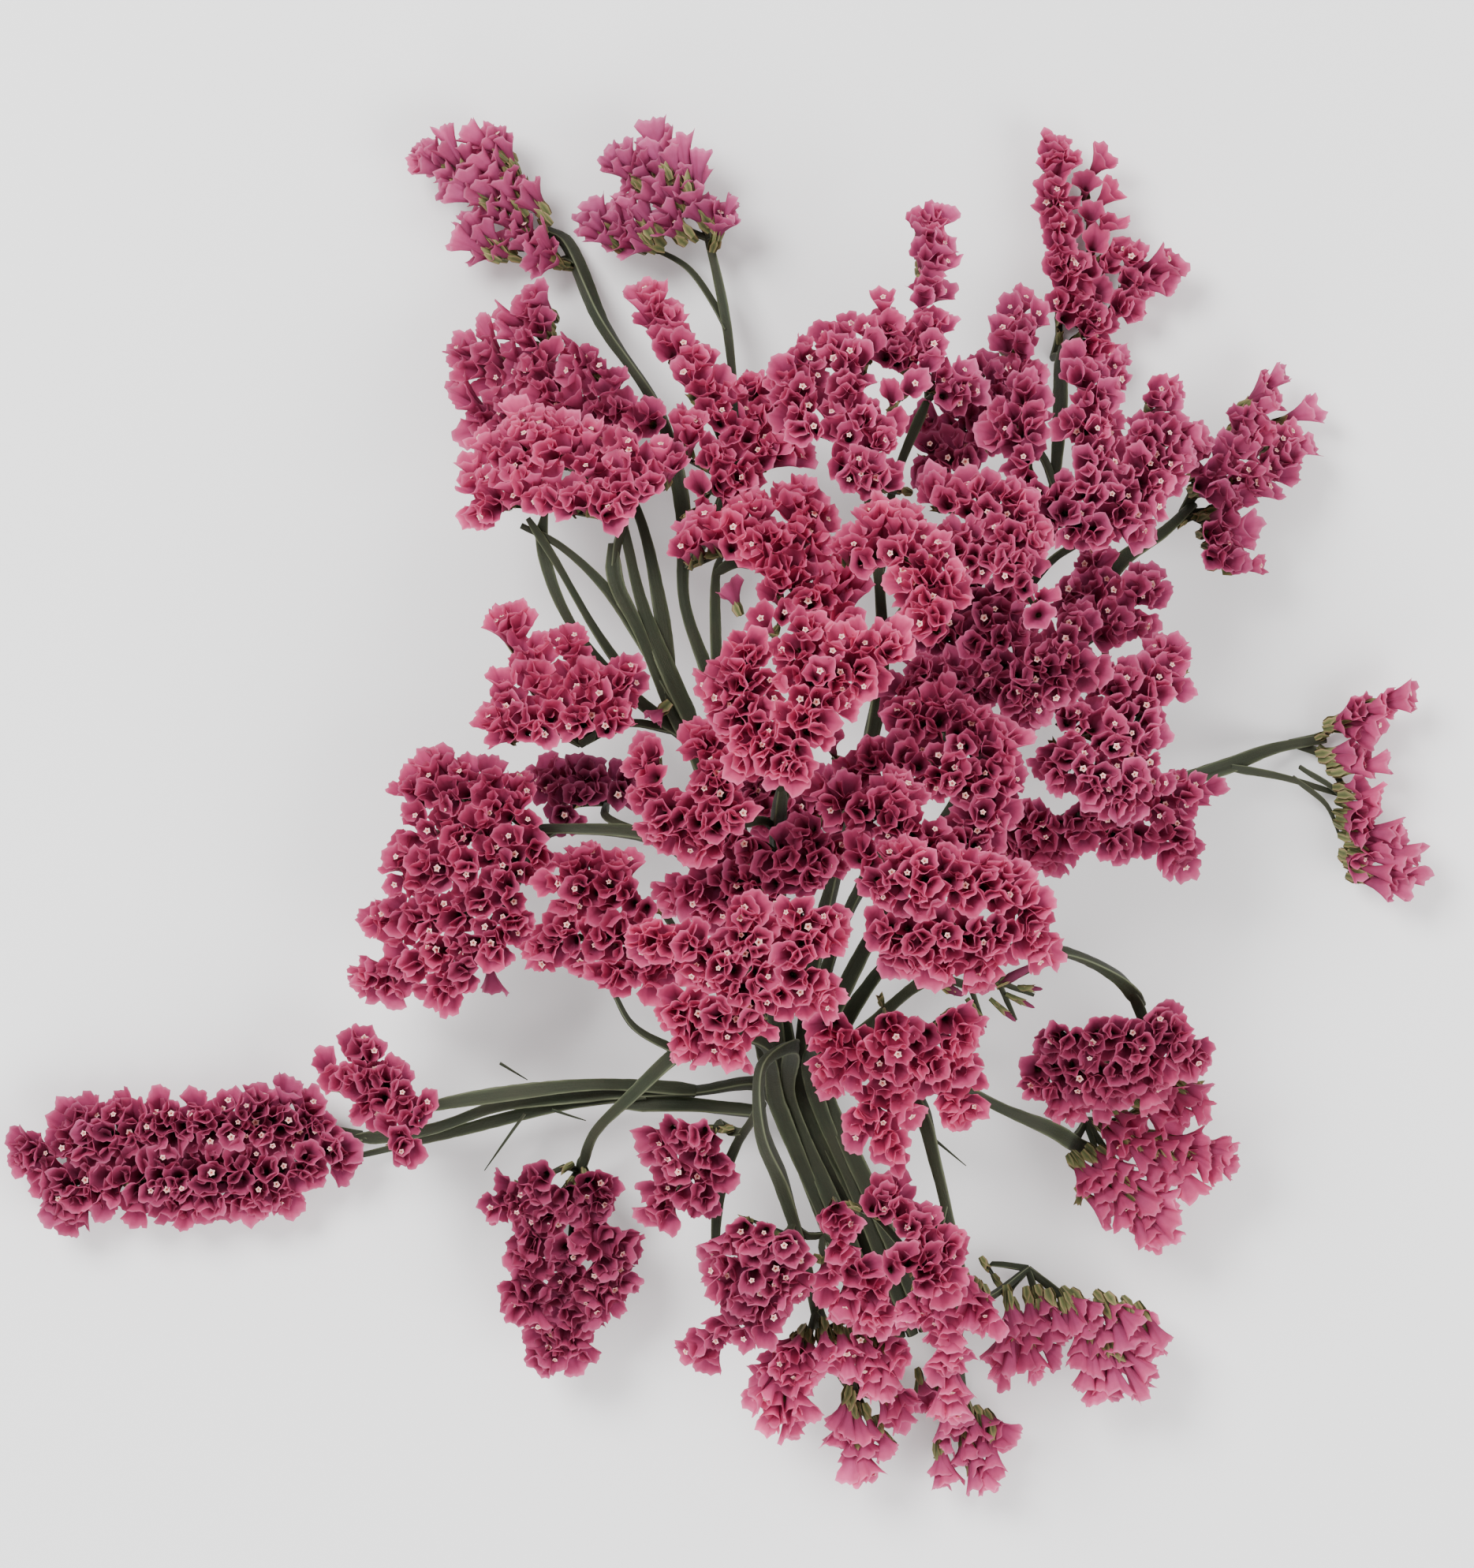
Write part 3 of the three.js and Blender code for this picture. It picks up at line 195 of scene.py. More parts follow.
# %% The lines of the heads
Head = namedtuple("Head", "stem height face tone lilac combs")
HEADS = {
    "tip_left_top": Head("top_left", 7, (135, 30), 0.5, 0.6, [
        ((-62, 157), (-74, 172), (-89, 180)),
        ((-61, 158), (-66, 169), (-68, 184)),
        ((-55, 159), (-60, 172)),
        ((-55, 154), (-73, 156)),
    ]),
    "tip_left_second": Head("top_left", 12, (130, 30), 0.55, 0.8, [
        ((-12, 165), (-20, 173), (-32, 175)),
        ((-10, 163), (-20, 167)),
        ((-17, 162), (-27, 159), (-38, 157)),
    ]),
    "upper_left_back": Head("upper_left", 24, (150, 45), 0.5, 0.35, [
        ((-50, 103), (-56, 121), (-55, 137)),
        ((-48, 106), (-59, 117), (-72, 119)),
        ((-34, 105), (-41, 121)),
        ((-50, 101), (-72, 105)),
        ((-25, 103), (-50, 105)),
    ]),
    "upper_left_front": Head("upper_left", 50, (115, 50), 0.72, 0.3, [
        ((-36, 82), (-50, 91), (-64, 90)),
        ((-39, 76), (-52, 78), (-72, 80)),
        ((-36, 80), (-20, 84)),
        ((-27, 83), (-27, 95)),
    ]),
    "top_middle_left": Head("top_left", 48, (80, 55), 0.66, 0.25, [
        ((-7, 105), (-22, 127)),
        ((3, 96), (-12, 109)),
        ((6, 89), (6, 100), (5, 112)),
        ((-2, 86), (-18, 94)),
    ]),
    "middle_left_comb": Head("top_left", 66, (100, 50), 0.68, 0.1, [
        ((6, 70), (-4, 66), (-15, 61)),
        ((6, 69), (16, 61), (16, 74)),
        ((12, 61), (20, 50), (33, 44)),
    ]),
    "crown_left": Head("top_middle", 74, (90, 70), 0.6, 0.35, [
        ((36, 92), (32, 107), (27, 126)),
        ((34, 95), (19, 100), (16, 114)),
        ((49, 81), (36, 83), (27, 88)),
    ]),
    "crown_spike": Head("top_middle", 54, (60, 55), 0.6, 0.5, [
        ((59, 108), (47, 116), (35, 123)),
        ((54, 118), (52, 138), (52, 158)),
    ]),
    "crown_small": Head("upper_right", 39, (100, 60), 0.5, 0.5, [
        ((80, 111), (79, 132)),
        ((74, 108), (65, 119)),
        ((76, 102), (63, 102), (52, 105)),
        ((76, 99), (64, 91), (52, 92)),
    ]),
    "spire": Head("upper_right", 6, (50, 60), 0.55, 0.3, [
        ((93, 127), (92, 154), (90, 177)),
        ((96, 127), (108, 137), (112, 146)),
    ]),
    "right_cluster": Head("upper_right", 60, (70, 75), 0.55, 0.5, [
        ((98, 71), (83, 84), (80, 105)),
        ((99, 71), (98, 95), (98, 118)),
        ((101, 73), (114, 87), (116, 109)),
    ]),
    "right_tip": Head("right", 20, (20, 45), 0.5, 0.5, [
        ((133, 84), (142, 96), (147, 108)),
        ((133, 84), (128, 96)),
        ((135, 78), (122, 72)),
        ((135, 78), (138, 61)),
        ((135, 78), (146, 82)),
    ]),
    "centre_top": Head("top_middle", 90, (100, 60), 0.68, 0.15, [
        ((53, 59), (41, 64), (30, 61)),
        ((52, 59), (56, 42)),
    ]),
    "right_small": Head("upper_right", 78, (100, 70), 0.55, 0.3, [
        ((76, 75), (56, 77)),
        ((76, 74), (74, 63), (59, 63)),
    ]),
    "right_pair": Head("right", 42, (60, 65), 0.45, 0.45, [
        ((101, 42), (90, 54)),
        ((101, 42), (114, 53)),
        ((101, 47), (101, 60)),
    ]),
    "left_small": Head("upper_left", 52, (100, 50), 0.66, 0.15, [
        ((-36, 15), (-51, 20), (-62, 13)),
        ((-53, 18), (-63, 38)),
        ((-55, 17), (-69, 24)),
        ((-43, 19), (-45, 34)),
        ((-39, 18), (-34, 27)),
    ]),
    "left_dark": Head("mid_left", 22, (100, 75), 0.3, 0.5, [
        ((-33, -2), (-55, -1)),
        ((-43, -4), (-55, -9)),
    ]),
    "centre_high": Head("centre_left", 112, (110, 82), 0.62, 0.05, [
        ((14, 6), (3, 19), (2, 37)),
        ((14, 6), (21, 23), (16, 41)),
        ((21, 27), (39, 34)),
    ]),
    "centre_left_high": Head("centre_left", 98, (130, 75), 0.55, 0.05, [
        ((-2, -9), (-7, 8)),
        ((-5, -11), (-21, -5), (-22, 5)),
    ]),
    "left_wide": Head("mid_left", 40, (165, 70), 0.52, 0.15, [
        ((-59, -13), (-72, -4), (-89, -5)),
        ((-59, -16), (-74, -22), (-94, -25)),
        ((-63, -22), (-77, -36), (-98, -39)),
        ((-64, -26), (-67, -43), (-82, -55)),
        ((-72, -44), (-98, -52)),
    ]),
    "left_band": Head("mid_left", 66, (200, 78), 0.5, 0.1, [
        ((-19, -36), (-37, -30), (-52, -28)),
        ((-19, -42), (-37, -44), (-52, -42)),
        ((-20, -47), (-33, -53)),
    ]),
    "front_bright": Head("lower_left", 118, (220, 82), 0.58, 0.05, [
        ((6, -62), (-6, -64), (-18, -59)),
        ((7, -61), (17, -49), (18, -35)),
        ((5, -58), (-9, -45), (-23, -43)),
        ((5, -55), (1, -36)),
    ]),
    "front_middle": Head("centre_left", 80, (170, 80), 0.5, 0.25, [
        ((19, -25), (5, -16), (-8, -15)),
        ((19, -24), (23, -8)),
        ((17, -28), (0, -28), (-12, -26)),
    ]),
    "dark_right": Head("right", 62, (90, 78), 0.42, 0.4, [
        ((78, 30), (65, 41), (54, 41)),
        ((78, 27), (65, 27), (52, 29)),
        ((76, 34), (67, 53)),
        ((79, 30), (91, 34), (95, 43)),
    ]),
    "right_edge": Head("far_right", 58, (60, 70), 0.5, 0.4, [
        ((113, 0), (99, 3), (89, 11)),
        ((113, 1), (112, 14), (117, 27), (127, 33)),
        ((112, 12), (106, 25), (104, 36)),
        ((110, 7), (97, 15), (89, 18)),
    ]),
    "right_low_edge": Head("far_right", 44, (310, 75), 0.5, 0.35, [
        ((95, -11), (82, -12), (75, -6)),
        ((97, -9), (113, -7), (126, -4)),
        ((97, -12), (111, -15), (123, -13)),
    ]),
    "centre_right_high": Head("lower_right", 79, (80, 80), 0.52, 0.25, [
        ((71, -1), (61, 14), (44, 19)),
        ((70, -2), (53, 4), (33, 5)),
        ((71, -3), (64, -18)),
    ]),
    "centre_right": Head("lower_right", 94, (100, 82), 0.52, 0.15, [
        ((53, -17), (40, -9), (29, -6)),
        ((53, -21), (32, -21)),
    ]),
    "right_bright": Head("lower_right", 108, (300, 80), 0.55, 0.15, [
        ((76, -34), (60, -27), (38, -26)),
        ((76, -39), (60, -42), (38, -40)),
    ]),
    "far_right_tip": Head("far_right", 7, (0, 40), 0.5, 0.35, [
        ((167, 13), (182, 22)),
        ((168, 11), (175, -1), (179, -26)),
    ]),
    "lower_right_dark": Head("lower_right", 48, (270, 72), 0.36, 0.2, [
        ((116, -75), (103, -80), (85, -81)),
        ((116, -73), (103, -71), (92, -71)),
        ((116, -73), (126, -72)),
    ]),
    "lower_right_tip": Head("low_right", 18, (320, 30), 0.58, 0.2, [
        ((108, -98), (122, -89), (131, -86)),
        ((108, -101), (124, -105), (131, -107)),
        ((106, -104), (111, -116), (117, -123)),
        ((105, -105), (98, -118)),
    ]),
    "neck_right": Head("bottom_right", 76, (300, 55), 0.7, 0.15, [
        ((42, -75), (31, -73), (26, -66)),
        ((44, -74), (40, -60)),
        ((48, -73), (59, -64)),
        ((53, -74), (63, -78)),
        ((51, -75), (59, -84), (66, -85)),
        ((42, -78), (37, -91), (40, -100)),
    ]),
    "far_left_tip": Head("left", 6, (90, 88), 0.36, 0.3, [
        ((-114, -100), (-144, -98), (-171, -100), (-198, -106)),
        ((-114, -104), (-132, -112), (-162, -114), (-192, -115)),
    ]),
    "far_left_near": Head("left", 32, (120, 70), 0.45, 0.2, [
        ((-91, -93), (-102, -84), (-109, -74)),
        ((-91, -95), (-98, -102)),
        ((-100, -88), (-116, -86)),
    ]),
    "lower_left_tip": Head("lower_left", 14, (260, 62), 0.32, 0.25, [
        ((-47, -109), (-58, -114), (-69, -118)),
        ((-44, -110), (-39, -124), (-41, -142)),
        ((-47, -113), (-57, -128), (-59, -144)),
        ((-48, -133), (-50, -160)),
    ]),
    "neck_left": Head("bottom", 40, (250, 65), 0.4, 0.2, [
        ((-1, -98), (-18, -98)),
        ((-9, -101), (-18, -118)),
        ((-9, -101), (-9, -118)),
    ]),
    "bottom_dark": Head("bottom", 52, (240, 60), 0.4, 0.25, [
        ((15, -128), (1, -122)),
        ((14, -130), (7, -141)),
        ((5, -132), (-4, -156)),
        ((5, -139), (7, -152)),
    ]),
    "bottom_comb": Head("bottom", 50, (270, 50), 0.66, 0.3, [
        ((21, -134), (32, -137), (43, -145)),
        ((28, -133), (27, -117)),
    ]),
    "bottom_upper": Head("bottom_right", 66, (60, 65), 0.45, 0.2, [
        ((55, -131), (48, -123), (41, -118)),
        ((41, -120), (33, -117)),
        ((54, -133), (43, -135)),
    ]),
    "bottom_fan": Head("bottom_right", 48, (270, 40), 0.75, 0.35, [
        ((60, -139), (59, -150), (60, -166)),
        ((60, -139), (69, -146)),
        ((60, -139), (51, -144)),
    ]),
    "bottom_chain": Head("bottom_right", 14, (290, 30), 0.62, 0.4, [
        ((70, -136), (77, -146)),
        ((77, -144), (84, -161)),
        ((85, -150), (94, -150), (103, -154)),
        ((101, -154), (116, -153)),
        ((101, -154), (108, -165)),
    ]),
    "bottom_left_tips": Head("bottom", 32, (280, 40), 0.75, 0.35, [
        ((22, -158), (16, -165), (14, -174)),
        ((24, -158), (30, -153)),
        ((25, -158), (45, -159)),
    ]),
    "bottom_green_comb": Head("bottom", 12, (290, 30), 0.72, 0.4, [
        ((34, -175), (45, -175)),
        ((35, -178), (36, -195)),
        ((37, -182), (46, -190)),
    ]),
    "bottom_tip": Head("bottom_right", 6, (275, 30), 0.65, 0.45, [
        ((63, -183), (57, -195)),
        ((64, -183), (67, -197)),
        ((64, -183), (75, -189)),
        ((62, -181), (50, -175)),
    ]),
    "underside": Head("none", 1, (90, 90), 0.4, 0.3, [
        ((7, -2), (29, -2)),
        ((7, -9), (29, -9)),
    ]),
}
SIDE_COMBS = {
    "crown_left": [[(37, 92), (41, 101), (47, 110)], [(33, 109), (37, 121), (42, 129)]],
    "crown_spike": [[(47, 116), (39, 125)]],
    "crown_small": [[(79, 120), (73, 129)], [(79, 120), (84, 131)]],
    "spire": [[(98, 132), (102, 152), (100, 173)]],
    "right_tip": [[(142, 87), (153, 90), (156, 105)], [(135, 72), (142, 61)]],
    "top_middle_left": [[(-4, 86), (-13, 76)]],
    "middle_left_comb": [[(12, 56), (12, 47), (9, 37)]],
    "dark_right": [[(54, 29), (43, 22)]],
    "centre_right_high": [[(36, 5), (25, 8)]],
    "left_wide": [[(-72, -15), (-89, -13)]],
    "right_small": [[(76, 61), (85, 44)]],
    "far_left_near": [[(-108, -87), (-118, -82)]],
}
print("heads:", len(HEADS), "with", sum(len(head.combs) for head in HEADS.values()), "combs")

# %% [markdown]
# ## Smooth courses
# Plants rarely turn a corner, so every course is a smooth curve through its points. A
# Catmull-Rom curve goes through all of them, and its centripetal kind makes no loops where two
# points lie close together. NumPy arrays keep the work quick, with thousands of small pieces.

# %% Curves
def unit(v):
    v = np.asarray(v, float)
    return v / np.maximum(np.linalg.norm(v, axis=-1, keepdims=True), 1e-9)


def course_through(points, step):
    """Points along a smooth curve, about one step apart."""
    p = np.asarray(points, float)
    p = np.vstack([2 * p[0] - p[1], p, 2 * p[-1] - p[-2]])
    course = []
    for a, b, c, d in zip(p, p[1:], p[2:], p[3:]):
        gaps = [max(np.linalg.norm(y - x), 1e-4) ** 0.5 for x, y in ((a, b), (b, c), (c, d))]
        leave = (b - a) / gaps[0] - (c - a) / (gaps[0] + gaps[1]) + (c - b) / gaps[1]
        arrive = (c - b) / gaps[1] - (d - b) / (gaps[1] + gaps[2]) + (d - c) / gaps[2]
        leave = leave * gaps[1]
        arrive = arrive * gaps[1]
        t = np.linspace(0, 1, max(int(np.linalg.norm(c - b) / step), 1) + 1)[:-1, None]
        square = -3 * b + 3 * c - 2 * leave - arrive
        cube = 2 * b - 2 * c + leave + arrive
        course.append(b + leave * t + square * t**2 + cube * t**3)
    return np.vstack(course + [p[-2:-1]])


def lengths_along(course):
    return np.concatenate([[0], np.cumsum(np.linalg.norm(np.diff(course, axis=0), axis=1))])


def at_length(course, length):
    """The place at a length along a course."""
    along = lengths_along(course)
    return np.array([np.interp(length, along, course[:, k]) for k in range(3)])


print("a straight course of 10 mm has", len(course_through([[0, 0, 0], [10, 0, 0]], 2.0)), "places")

# %% Directions and draws
def direction(azimuth, elevation):
    flat = cos(radians(elevation))
    x = flat * cos(radians(azimuth))
    y = flat * sin(radians(azimuth))
    return np.array([x, y, sin(radians(elevation))])


def any_side(ahead):
    """A drawn direction, square to the one ahead."""
    return unit(np.cross(ahead, rng.normal(size=3)))


def frames_along(course, twist):
    """Side and up directions along a course, which turn by the twist a millimetre."""
    ahead = unit(np.gradient(course, axis=0))
    side = unit(np.cross(ahead[0], [0.05, 0.12, 1.0]))
    sides = []
    for a in ahead:
        side = unit(side - a * np.dot(side, a))
        sides.append(side)
    sides = np.array(sides)
    ups = np.cross(sides, ahead)
    turn = (twist * lengths_along(course))[:, None]
    return sides * np.cos(turn) + ups * np.sin(turn), ups * np.cos(turn) - sides * np.sin(turn)


rng = np.random.default_rng(7)
print("one seeded source of draws:", round(float(rng.random()), 3))

# %% [markdown]
# ## A mesh that grows
# A spray holds hundreds of small forms, and one Blender object for each would be slow and hard
# to handle. So every piece gathers its small forms in one mesh. Beside its corners it keeps a
# few values at each of them, such as how near the papery rim a place is, and the materials read
# those values as attributes.

# %% A gathering mesh
def placed(name, data):
    """A new object in the scene, for a mesh, a light or a camera."""
    thing = bpy.data.objects.new(name, data)
    bpy.context.scene.collection.objects.link(thing)
    return thing


class Gathering:
    """Corners, faces and values at the corners, gathered form by form."""

    def __init__(self):
        self.places = []
        self.faces = []
        self.values = {}
        self.count = 0

    def add(self, places, faces, **values):
        places = np.asarray(places, float).reshape(-1, 3)
        self.places.append(places)
        self.faces.append(np.asarray(faces) + self.count)
        for name, value in values.items():
            self.values.setdefault(name, []).append(np.broadcast_to(value, len(places)))
        self.count += len(places)

    def piece(self, name, material, nodes=()):
        """One Blender object that rides on the bunch and stands for CAD nodes."""
        mesh = bpy.data.meshes.new(name)
        places = (np.vstack(self.places) - BOX_MIDDLE) * MM
        faces = [tuple(face) for part in self.faces for face in part.tolist()]
        mesh.from_pydata(places.tolist(), [], faces)
        for key, parts in self.values.items():
            attribute = mesh.attributes.new(key, "FLOAT", "POINT")
            attribute.data.foreach_set("value", np.concatenate(parts).astype(np.float32))
        mesh.polygons.foreach_set("use_smooth", [True] * len(mesh.polygons))
        mesh.materials.append(material)
        mesh.update()
        thing = placed(name, mesh)
        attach(thing, "root")
        if nodes:
            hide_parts(*nodes)
        return thing


def strip_faces(rows, columns, closed):
    """Four-sided faces between rows of corners. A closed row joins its ends."""
    r = np.arange(rows - 1)[:, None]
    c = np.arange(columns if closed else columns - 1)[None, :]
    d = (c + 1) % columns
    this_row = r * columns
    next_row = this_row + columns
    return np.stack([this_row + c, this_row + d, next_row + d, next_row + c], -1).reshape(-1, 4)


print("a ring of 5 columns has", len(strip_faces(2, 5, True)), "faces a row")

# %% [markdown]
# ## Dry mottling
# Nothing that has dried is one even colour. Stems, bracts and calyxes all fade in patches and
# carry a fine grain, so that effect is a node group with named sockets. Each material places
# the group with its own sizes and uses the masks in its own way.

# %% Groups and nodes
def socketed_group(name, inputs, outputs):
    group = bpy.data.node_groups.new(name, "ShaderNodeTree")
    for title, value in inputs:
        socket = group.interface.new_socket(name=title, in_out="INPUT", socket_type="NodeSocketFloat")
        socket.default_value = value
    for title in outputs:
        group.interface.new_socket(name=title, in_out="OUTPUT", socket_type="NodeSocketFloat")
    return group


def node(tree, kind, links=None, **settings):
    """One node. Settings with a capital letter are its sockets, the others its properties."""
    made = tree.nodes.new(kind)
    for key, value in settings.items():
        if key[0].isupper():
            made.inputs[key.replace("_", " ")].default_value = value
        else:
            setattr(made, key, value)
    for key, source in (links or {}).items():
        tree.links.new(source, made.inputs[key])
    return made


print("node helpers are ready")

# %% Dry mottling as a group
def dry_mottling():
    group = socketed_group("dry mottling", [("Patch Scale", 90.0), ("Grain Scale", 1500.0)],
                           ["Patches", "Grain"])
    given = group.nodes.new("NodeGroupInput").outputs
    place = node(group, "ShaderNodeTexCoord").outputs["Object"]
    noise = "ShaderNodeTexNoise"
    patches = node(group, noise, {"Vector": place, "Scale": given["Patch Scale"]}, Detail=3.0)
    grain = node(group, noise, {"Vector": place, "Scale": given["Grain Scale"]}, Detail=2.0)
    patch = {"Value": patches.outputs["Fac"]}
    spread = node(group, "ShaderNodeMapRange", patch, From_Min=0.3, From_Max=0.7)
    result = group.nodes.new("NodeGroupOutput")
    group.links.new(spread.outputs["Result"], result.inputs["Patches"])
    group.links.new(grain.outputs["Fac"], result.inputs["Grain"])
    return group


MOTTLING = dry_mottling()
print("shared group:", MOTTLING.name)

# %% Starting a material
def new_material(name):
    material = bpy.data.materials.new(name)
    material.use_nodes = True
    tree = material.node_tree
    return material, tree, tree.nodes["Principled BSDF"]


def surfaced(tree, shader, colour, roughness, specular=0.5):
    """Give a surface its colour, its roughness and the strength of its reflection."""
    tree.links.new(colour, shader.inputs["Base Color"])
    shader.inputs["Roughness"].default_value = roughness
    shader.inputs["Specular IOR Level"].default_value = specular


def mottled(tree, patch_scale, grain_scale):
    made = tree.nodes.new("ShaderNodeGroup")
    made.node_tree = MOTTLING
    made.inputs["Patch Scale"].default_value = patch_scale
    made.inputs["Grain Scale"].default_value = grain_scale
    return made.outputs["Patches"], made.outputs["Grain"]


def value_at(tree, name):
    return node(tree, "ShaderNodeAttribute", attribute_name=name).outputs["Fac"]


print("every material starts from a Principled surface")

# %% Colours from values
def ramp(tree, source, stops):
    made = node(tree, "ShaderNodeValToRGB", {"Fac": source})
    elements = made.color_ramp.elements
    while len(elements) < len(stops):
        elements.new(0.5)
    for element, (place, colour) in zip(elements, stops):
        element.position = place
        element.color = (*colour, 1.0)
    return made.outputs["Color"]


def mixed(tree, share, a, b, blend="MIX"):
    """Two colours mixed by a share. Each of the three is a link or a plain value."""
    made = node(tree, "ShaderNodeMix", data_type="RGBA", blend_type=blend)
    for socket, source in ((made.inputs[0], share), (made.inputs[6], a), (made.inputs[7], b)):
        if isinstance(source, bpy.types.NodeSocket):
            tree.links.new(source, socket)
        elif isinstance(source, tuple):
            socket.default_value = (*source, 1.0)
        else:
            socket.default_value = source
    return made.outputs[2]


def ranged(tree, source, low, high):
    made = node(tree, "ShaderNodeMapRange", {"Value": source}, To_Min=low, To_Max=high)
    return made.outputs["Result"]


def shaded(tree, colour, source, low, high):
    """A colour that a value makes darker or lighter."""
    value = ranged(tree, source, low, high)
    grey = node(tree, "ShaderNodeCombineColor", {"Red": value, "Green": value, "Blue": value})
    return mixed(tree, 1.0, colour, grey.outputs["Color"], "MULTIPLY")


def bumped(tree, height, shader, strength, distance):
    bump = node(tree, "ShaderNodeBump", {"Height": height}, Strength=strength, Distance=distance)
    tree.links.new(bump.outputs["Normal"], shader.inputs["Normal"])


print("colour helpers are ready")

# %% [markdown]
# ## The papery calyx
# A statice calyx keeps its colour when it dries. Its flared limb is a thin crimped paper, and
# light comes through it. A Principled surface gives the dry face and a Translucent one, mixed in,
# lets the light through. The colour follows the values kept at each corner: how near the rim it
# is, whether a vein runs there, and the tone and lilac of its spray. Towards the tube the colour
# is painted darker, which is painted shade inside the funnel, and towards the rim it is painted
# paler, which is a painted highlight on the lit rim.

# %% Papery calyx material
def papery_calyx():
    material, tree, shader = new_material("papery calyx")
    patches, grain = mottled(tree, 260.0, 2600.0)
    rim = value_at(tree, "rim")
    # From the tube to the rim these ramps run from dark to pale: painted shade inside the funnel and a
    # painted highlight on the rim, over the pink and lilac of the paper.
    pink = ramp(tree, rim, [
        (0.0, (0.10, 0.08, 0.03)),
        (0.16, (0.28, 0.034, 0.086)),
        (0.5, (0.465, 0.058, 0.156)),
        (0.85, (0.66, 0.080, 0.205)),
        (1.0, (0.77, 0.17, 0.32)),
    ])
    lilac = ramp(tree, rim, [
        (0.0, (0.09, 0.07, 0.04)),
        (0.16, (0.23, 0.038, 0.104)),
        (0.5, (0.41, 0.074, 0.198)),
        (0.85, (0.58, 0.120, 0.280)),
        (1.0, (0.72, 0.24, 0.42)),
    ])
    colour = mixed(tree, value_at(tree, "lilac"), pink, lilac)
    colour = shaded(tree, colour, value_at(tree, "tone"), 0.42, 1.25)
    colour = shaded(tree, colour, patches, 0.86, 1.12)
    veins = ranged(tree, value_at(tree, "vein"), 0.0, 0.4)
    colour = mixed(tree, veins, colour, (0.24, 0.012, 0.06))
    surfaced(tree, shader, colour, 0.72, 0.25)
    bumped(tree, grain, shader, 0.35, 0.0002)
    through = node(tree, "ShaderNodeBsdfTranslucent", {"Color": colour})
    surfaces = {1: shader.outputs["BSDF"], 2: through.outputs["BSDF"]}
    both = node(tree, "ShaderNodeMixShader", surfaces, Fac=0.34)
    tree.links.new(both.outputs["Shader"], tree.nodes["Material Output"].inputs["Surface"])
    return material


CALYX = papery_calyx()
print("made", CALYX.name)

# %% [markdown]
# ## Bracts and corollas
# A bract is a green scale with a dry brown margin. A corolla is the true flower, a cream speck
# inside the calyx. Both read how near the edge a place is, so that one ramp of colours does the
# work of several painted parts.

# %% Bract and corolla materials
def dry_bract():
    material, tree, shader = new_material("dry bract")
    patches, grain = mottled(tree, 180.0, 2200.0)
    colour = ramp(tree, value_at(tree, "rim"), [
        (0.0, (0.060, 0.072, 0.026)),
        (0.55, (0.15, 0.155, 0.055)),
        (0.85, (0.25, 0.17, 0.085)),
        (1.0, (0.38, 0.26, 0.16)),
    ])
    colour = shaded(tree, colour, patches, 0.65, 1.25)
    surfaced(tree, shader, colour, 0.7, 0.3)
    bumped(tree, grain, shader, 0.4, 0.0002)
    return material


def cream_corolla():
    material, tree, shader = new_material("cream corolla")
    patches, grain = mottled(tree, 700.0, 3000.0)
    colour = ramp(tree, value_at(tree, "rim"), [
        (0.0, (0.55, 0.14, 0.10)),
        (1.0, (0.98, 0.60, 0.56)),
    ])
    colour = shaded(tree, colour, patches, 0.8, 1.15)
    surfaced(tree, shader, colour, 0.6)
    bumped(tree, grain, shader, 0.2, 0.0001)
    return material


BRACT = dry_bract()
COROLLA = cream_corolla()
print("made", BRACT.name, "and", COROLLA.name)

# %% [markdown]
# ## The winged stem
# The stem is dark and ridged, and its thin wings are lighter. Its fibres run lengthwise, so
# their noise is read in the stem's own directions, along and around, and not in space. A cut end
# shows the pale wood.

# %% Winged stem material
def times(tree, name, factor):
    """A value of the corners, times a factor."""
    made = node(tree, "ShaderNodeMath", {0: value_at(tree, name)}, operation="MULTIPLY")
    made.inputs[1].default_value = factor
    return made.outputs["Value"]


def lengthwise_fibres(tree):
    ways = {"X": times(tree, "around", 3.0), "Y": times(tree, "along", 0.06)}
    place = {"Vector": node(tree, "ShaderNodeCombineXYZ", ways).outputs["Vector"]}
    return node(tree, "ShaderNodeTexNoise", place, Scale=2.4, Detail=3.0).outputs["Fac"]


def winged_stem():
    material, tree, shader = new_material("winged stem")
    patches, grain = mottled(tree, 70.0, 1800.0)
    fibres = lengthwise_fibres(tree)
    colour = ramp(tree, value_at(tree, "edge"), [
        (0.0, (0.018, 0.024, 0.011)),
        (0.7, (0.034, 0.044, 0.021)),
        (1.0, (0.11, 0.125, 0.070)),
    ])
    colour = shaded(tree, colour, fibres, 0.45, 1.6)
    colour = mixed(tree, ranged(tree, patches, 0.0, 0.35), colour, (0.042, 0.034, 0.019))
    colour = mixed(tree, value_at(tree, "cut"), colour, (0.36, 0.31, 0.19))
    surfaced(tree, shader, colour, 0.64, 0.3)
    height = node(tree, "ShaderNodeMath", {0: fibres, 1: grain}, operation="ADD")
    bumped(tree, height.outputs["Value"], shader, 0.5, 0.0003)
    return material


STEM = winged_stem()
print("made", STEM.name)

# %% [markdown]
# ## Where a spray's calyxes stand
# The solids hold a sheet of six-sided cells over each spray's combs. The same lattice, laid
# along the first comb, gives the middles of the cells, and a look at the solid tells which of
# them are there. Real calyxes are smaller and stand closer, so one grows at the middle of every
# cell and one at every side between cells. At the edge of a spray some sides stay empty, which
# keeps its outline ragged.

# %% The base of a spray
# A base falls by the droop where it is one reach from its middle. A low head lies flat.
DROOP = 3.5
DROOP_REACH = 25
LOW_HEAD = 20
STEEPEST = 0.36
# Calyxes spread from the middle by the splay, and stand at least this steeply.
MOUTH_HEIGHT = 9.6
SPLAY = 0.12
LOWEST_LEAN = 50


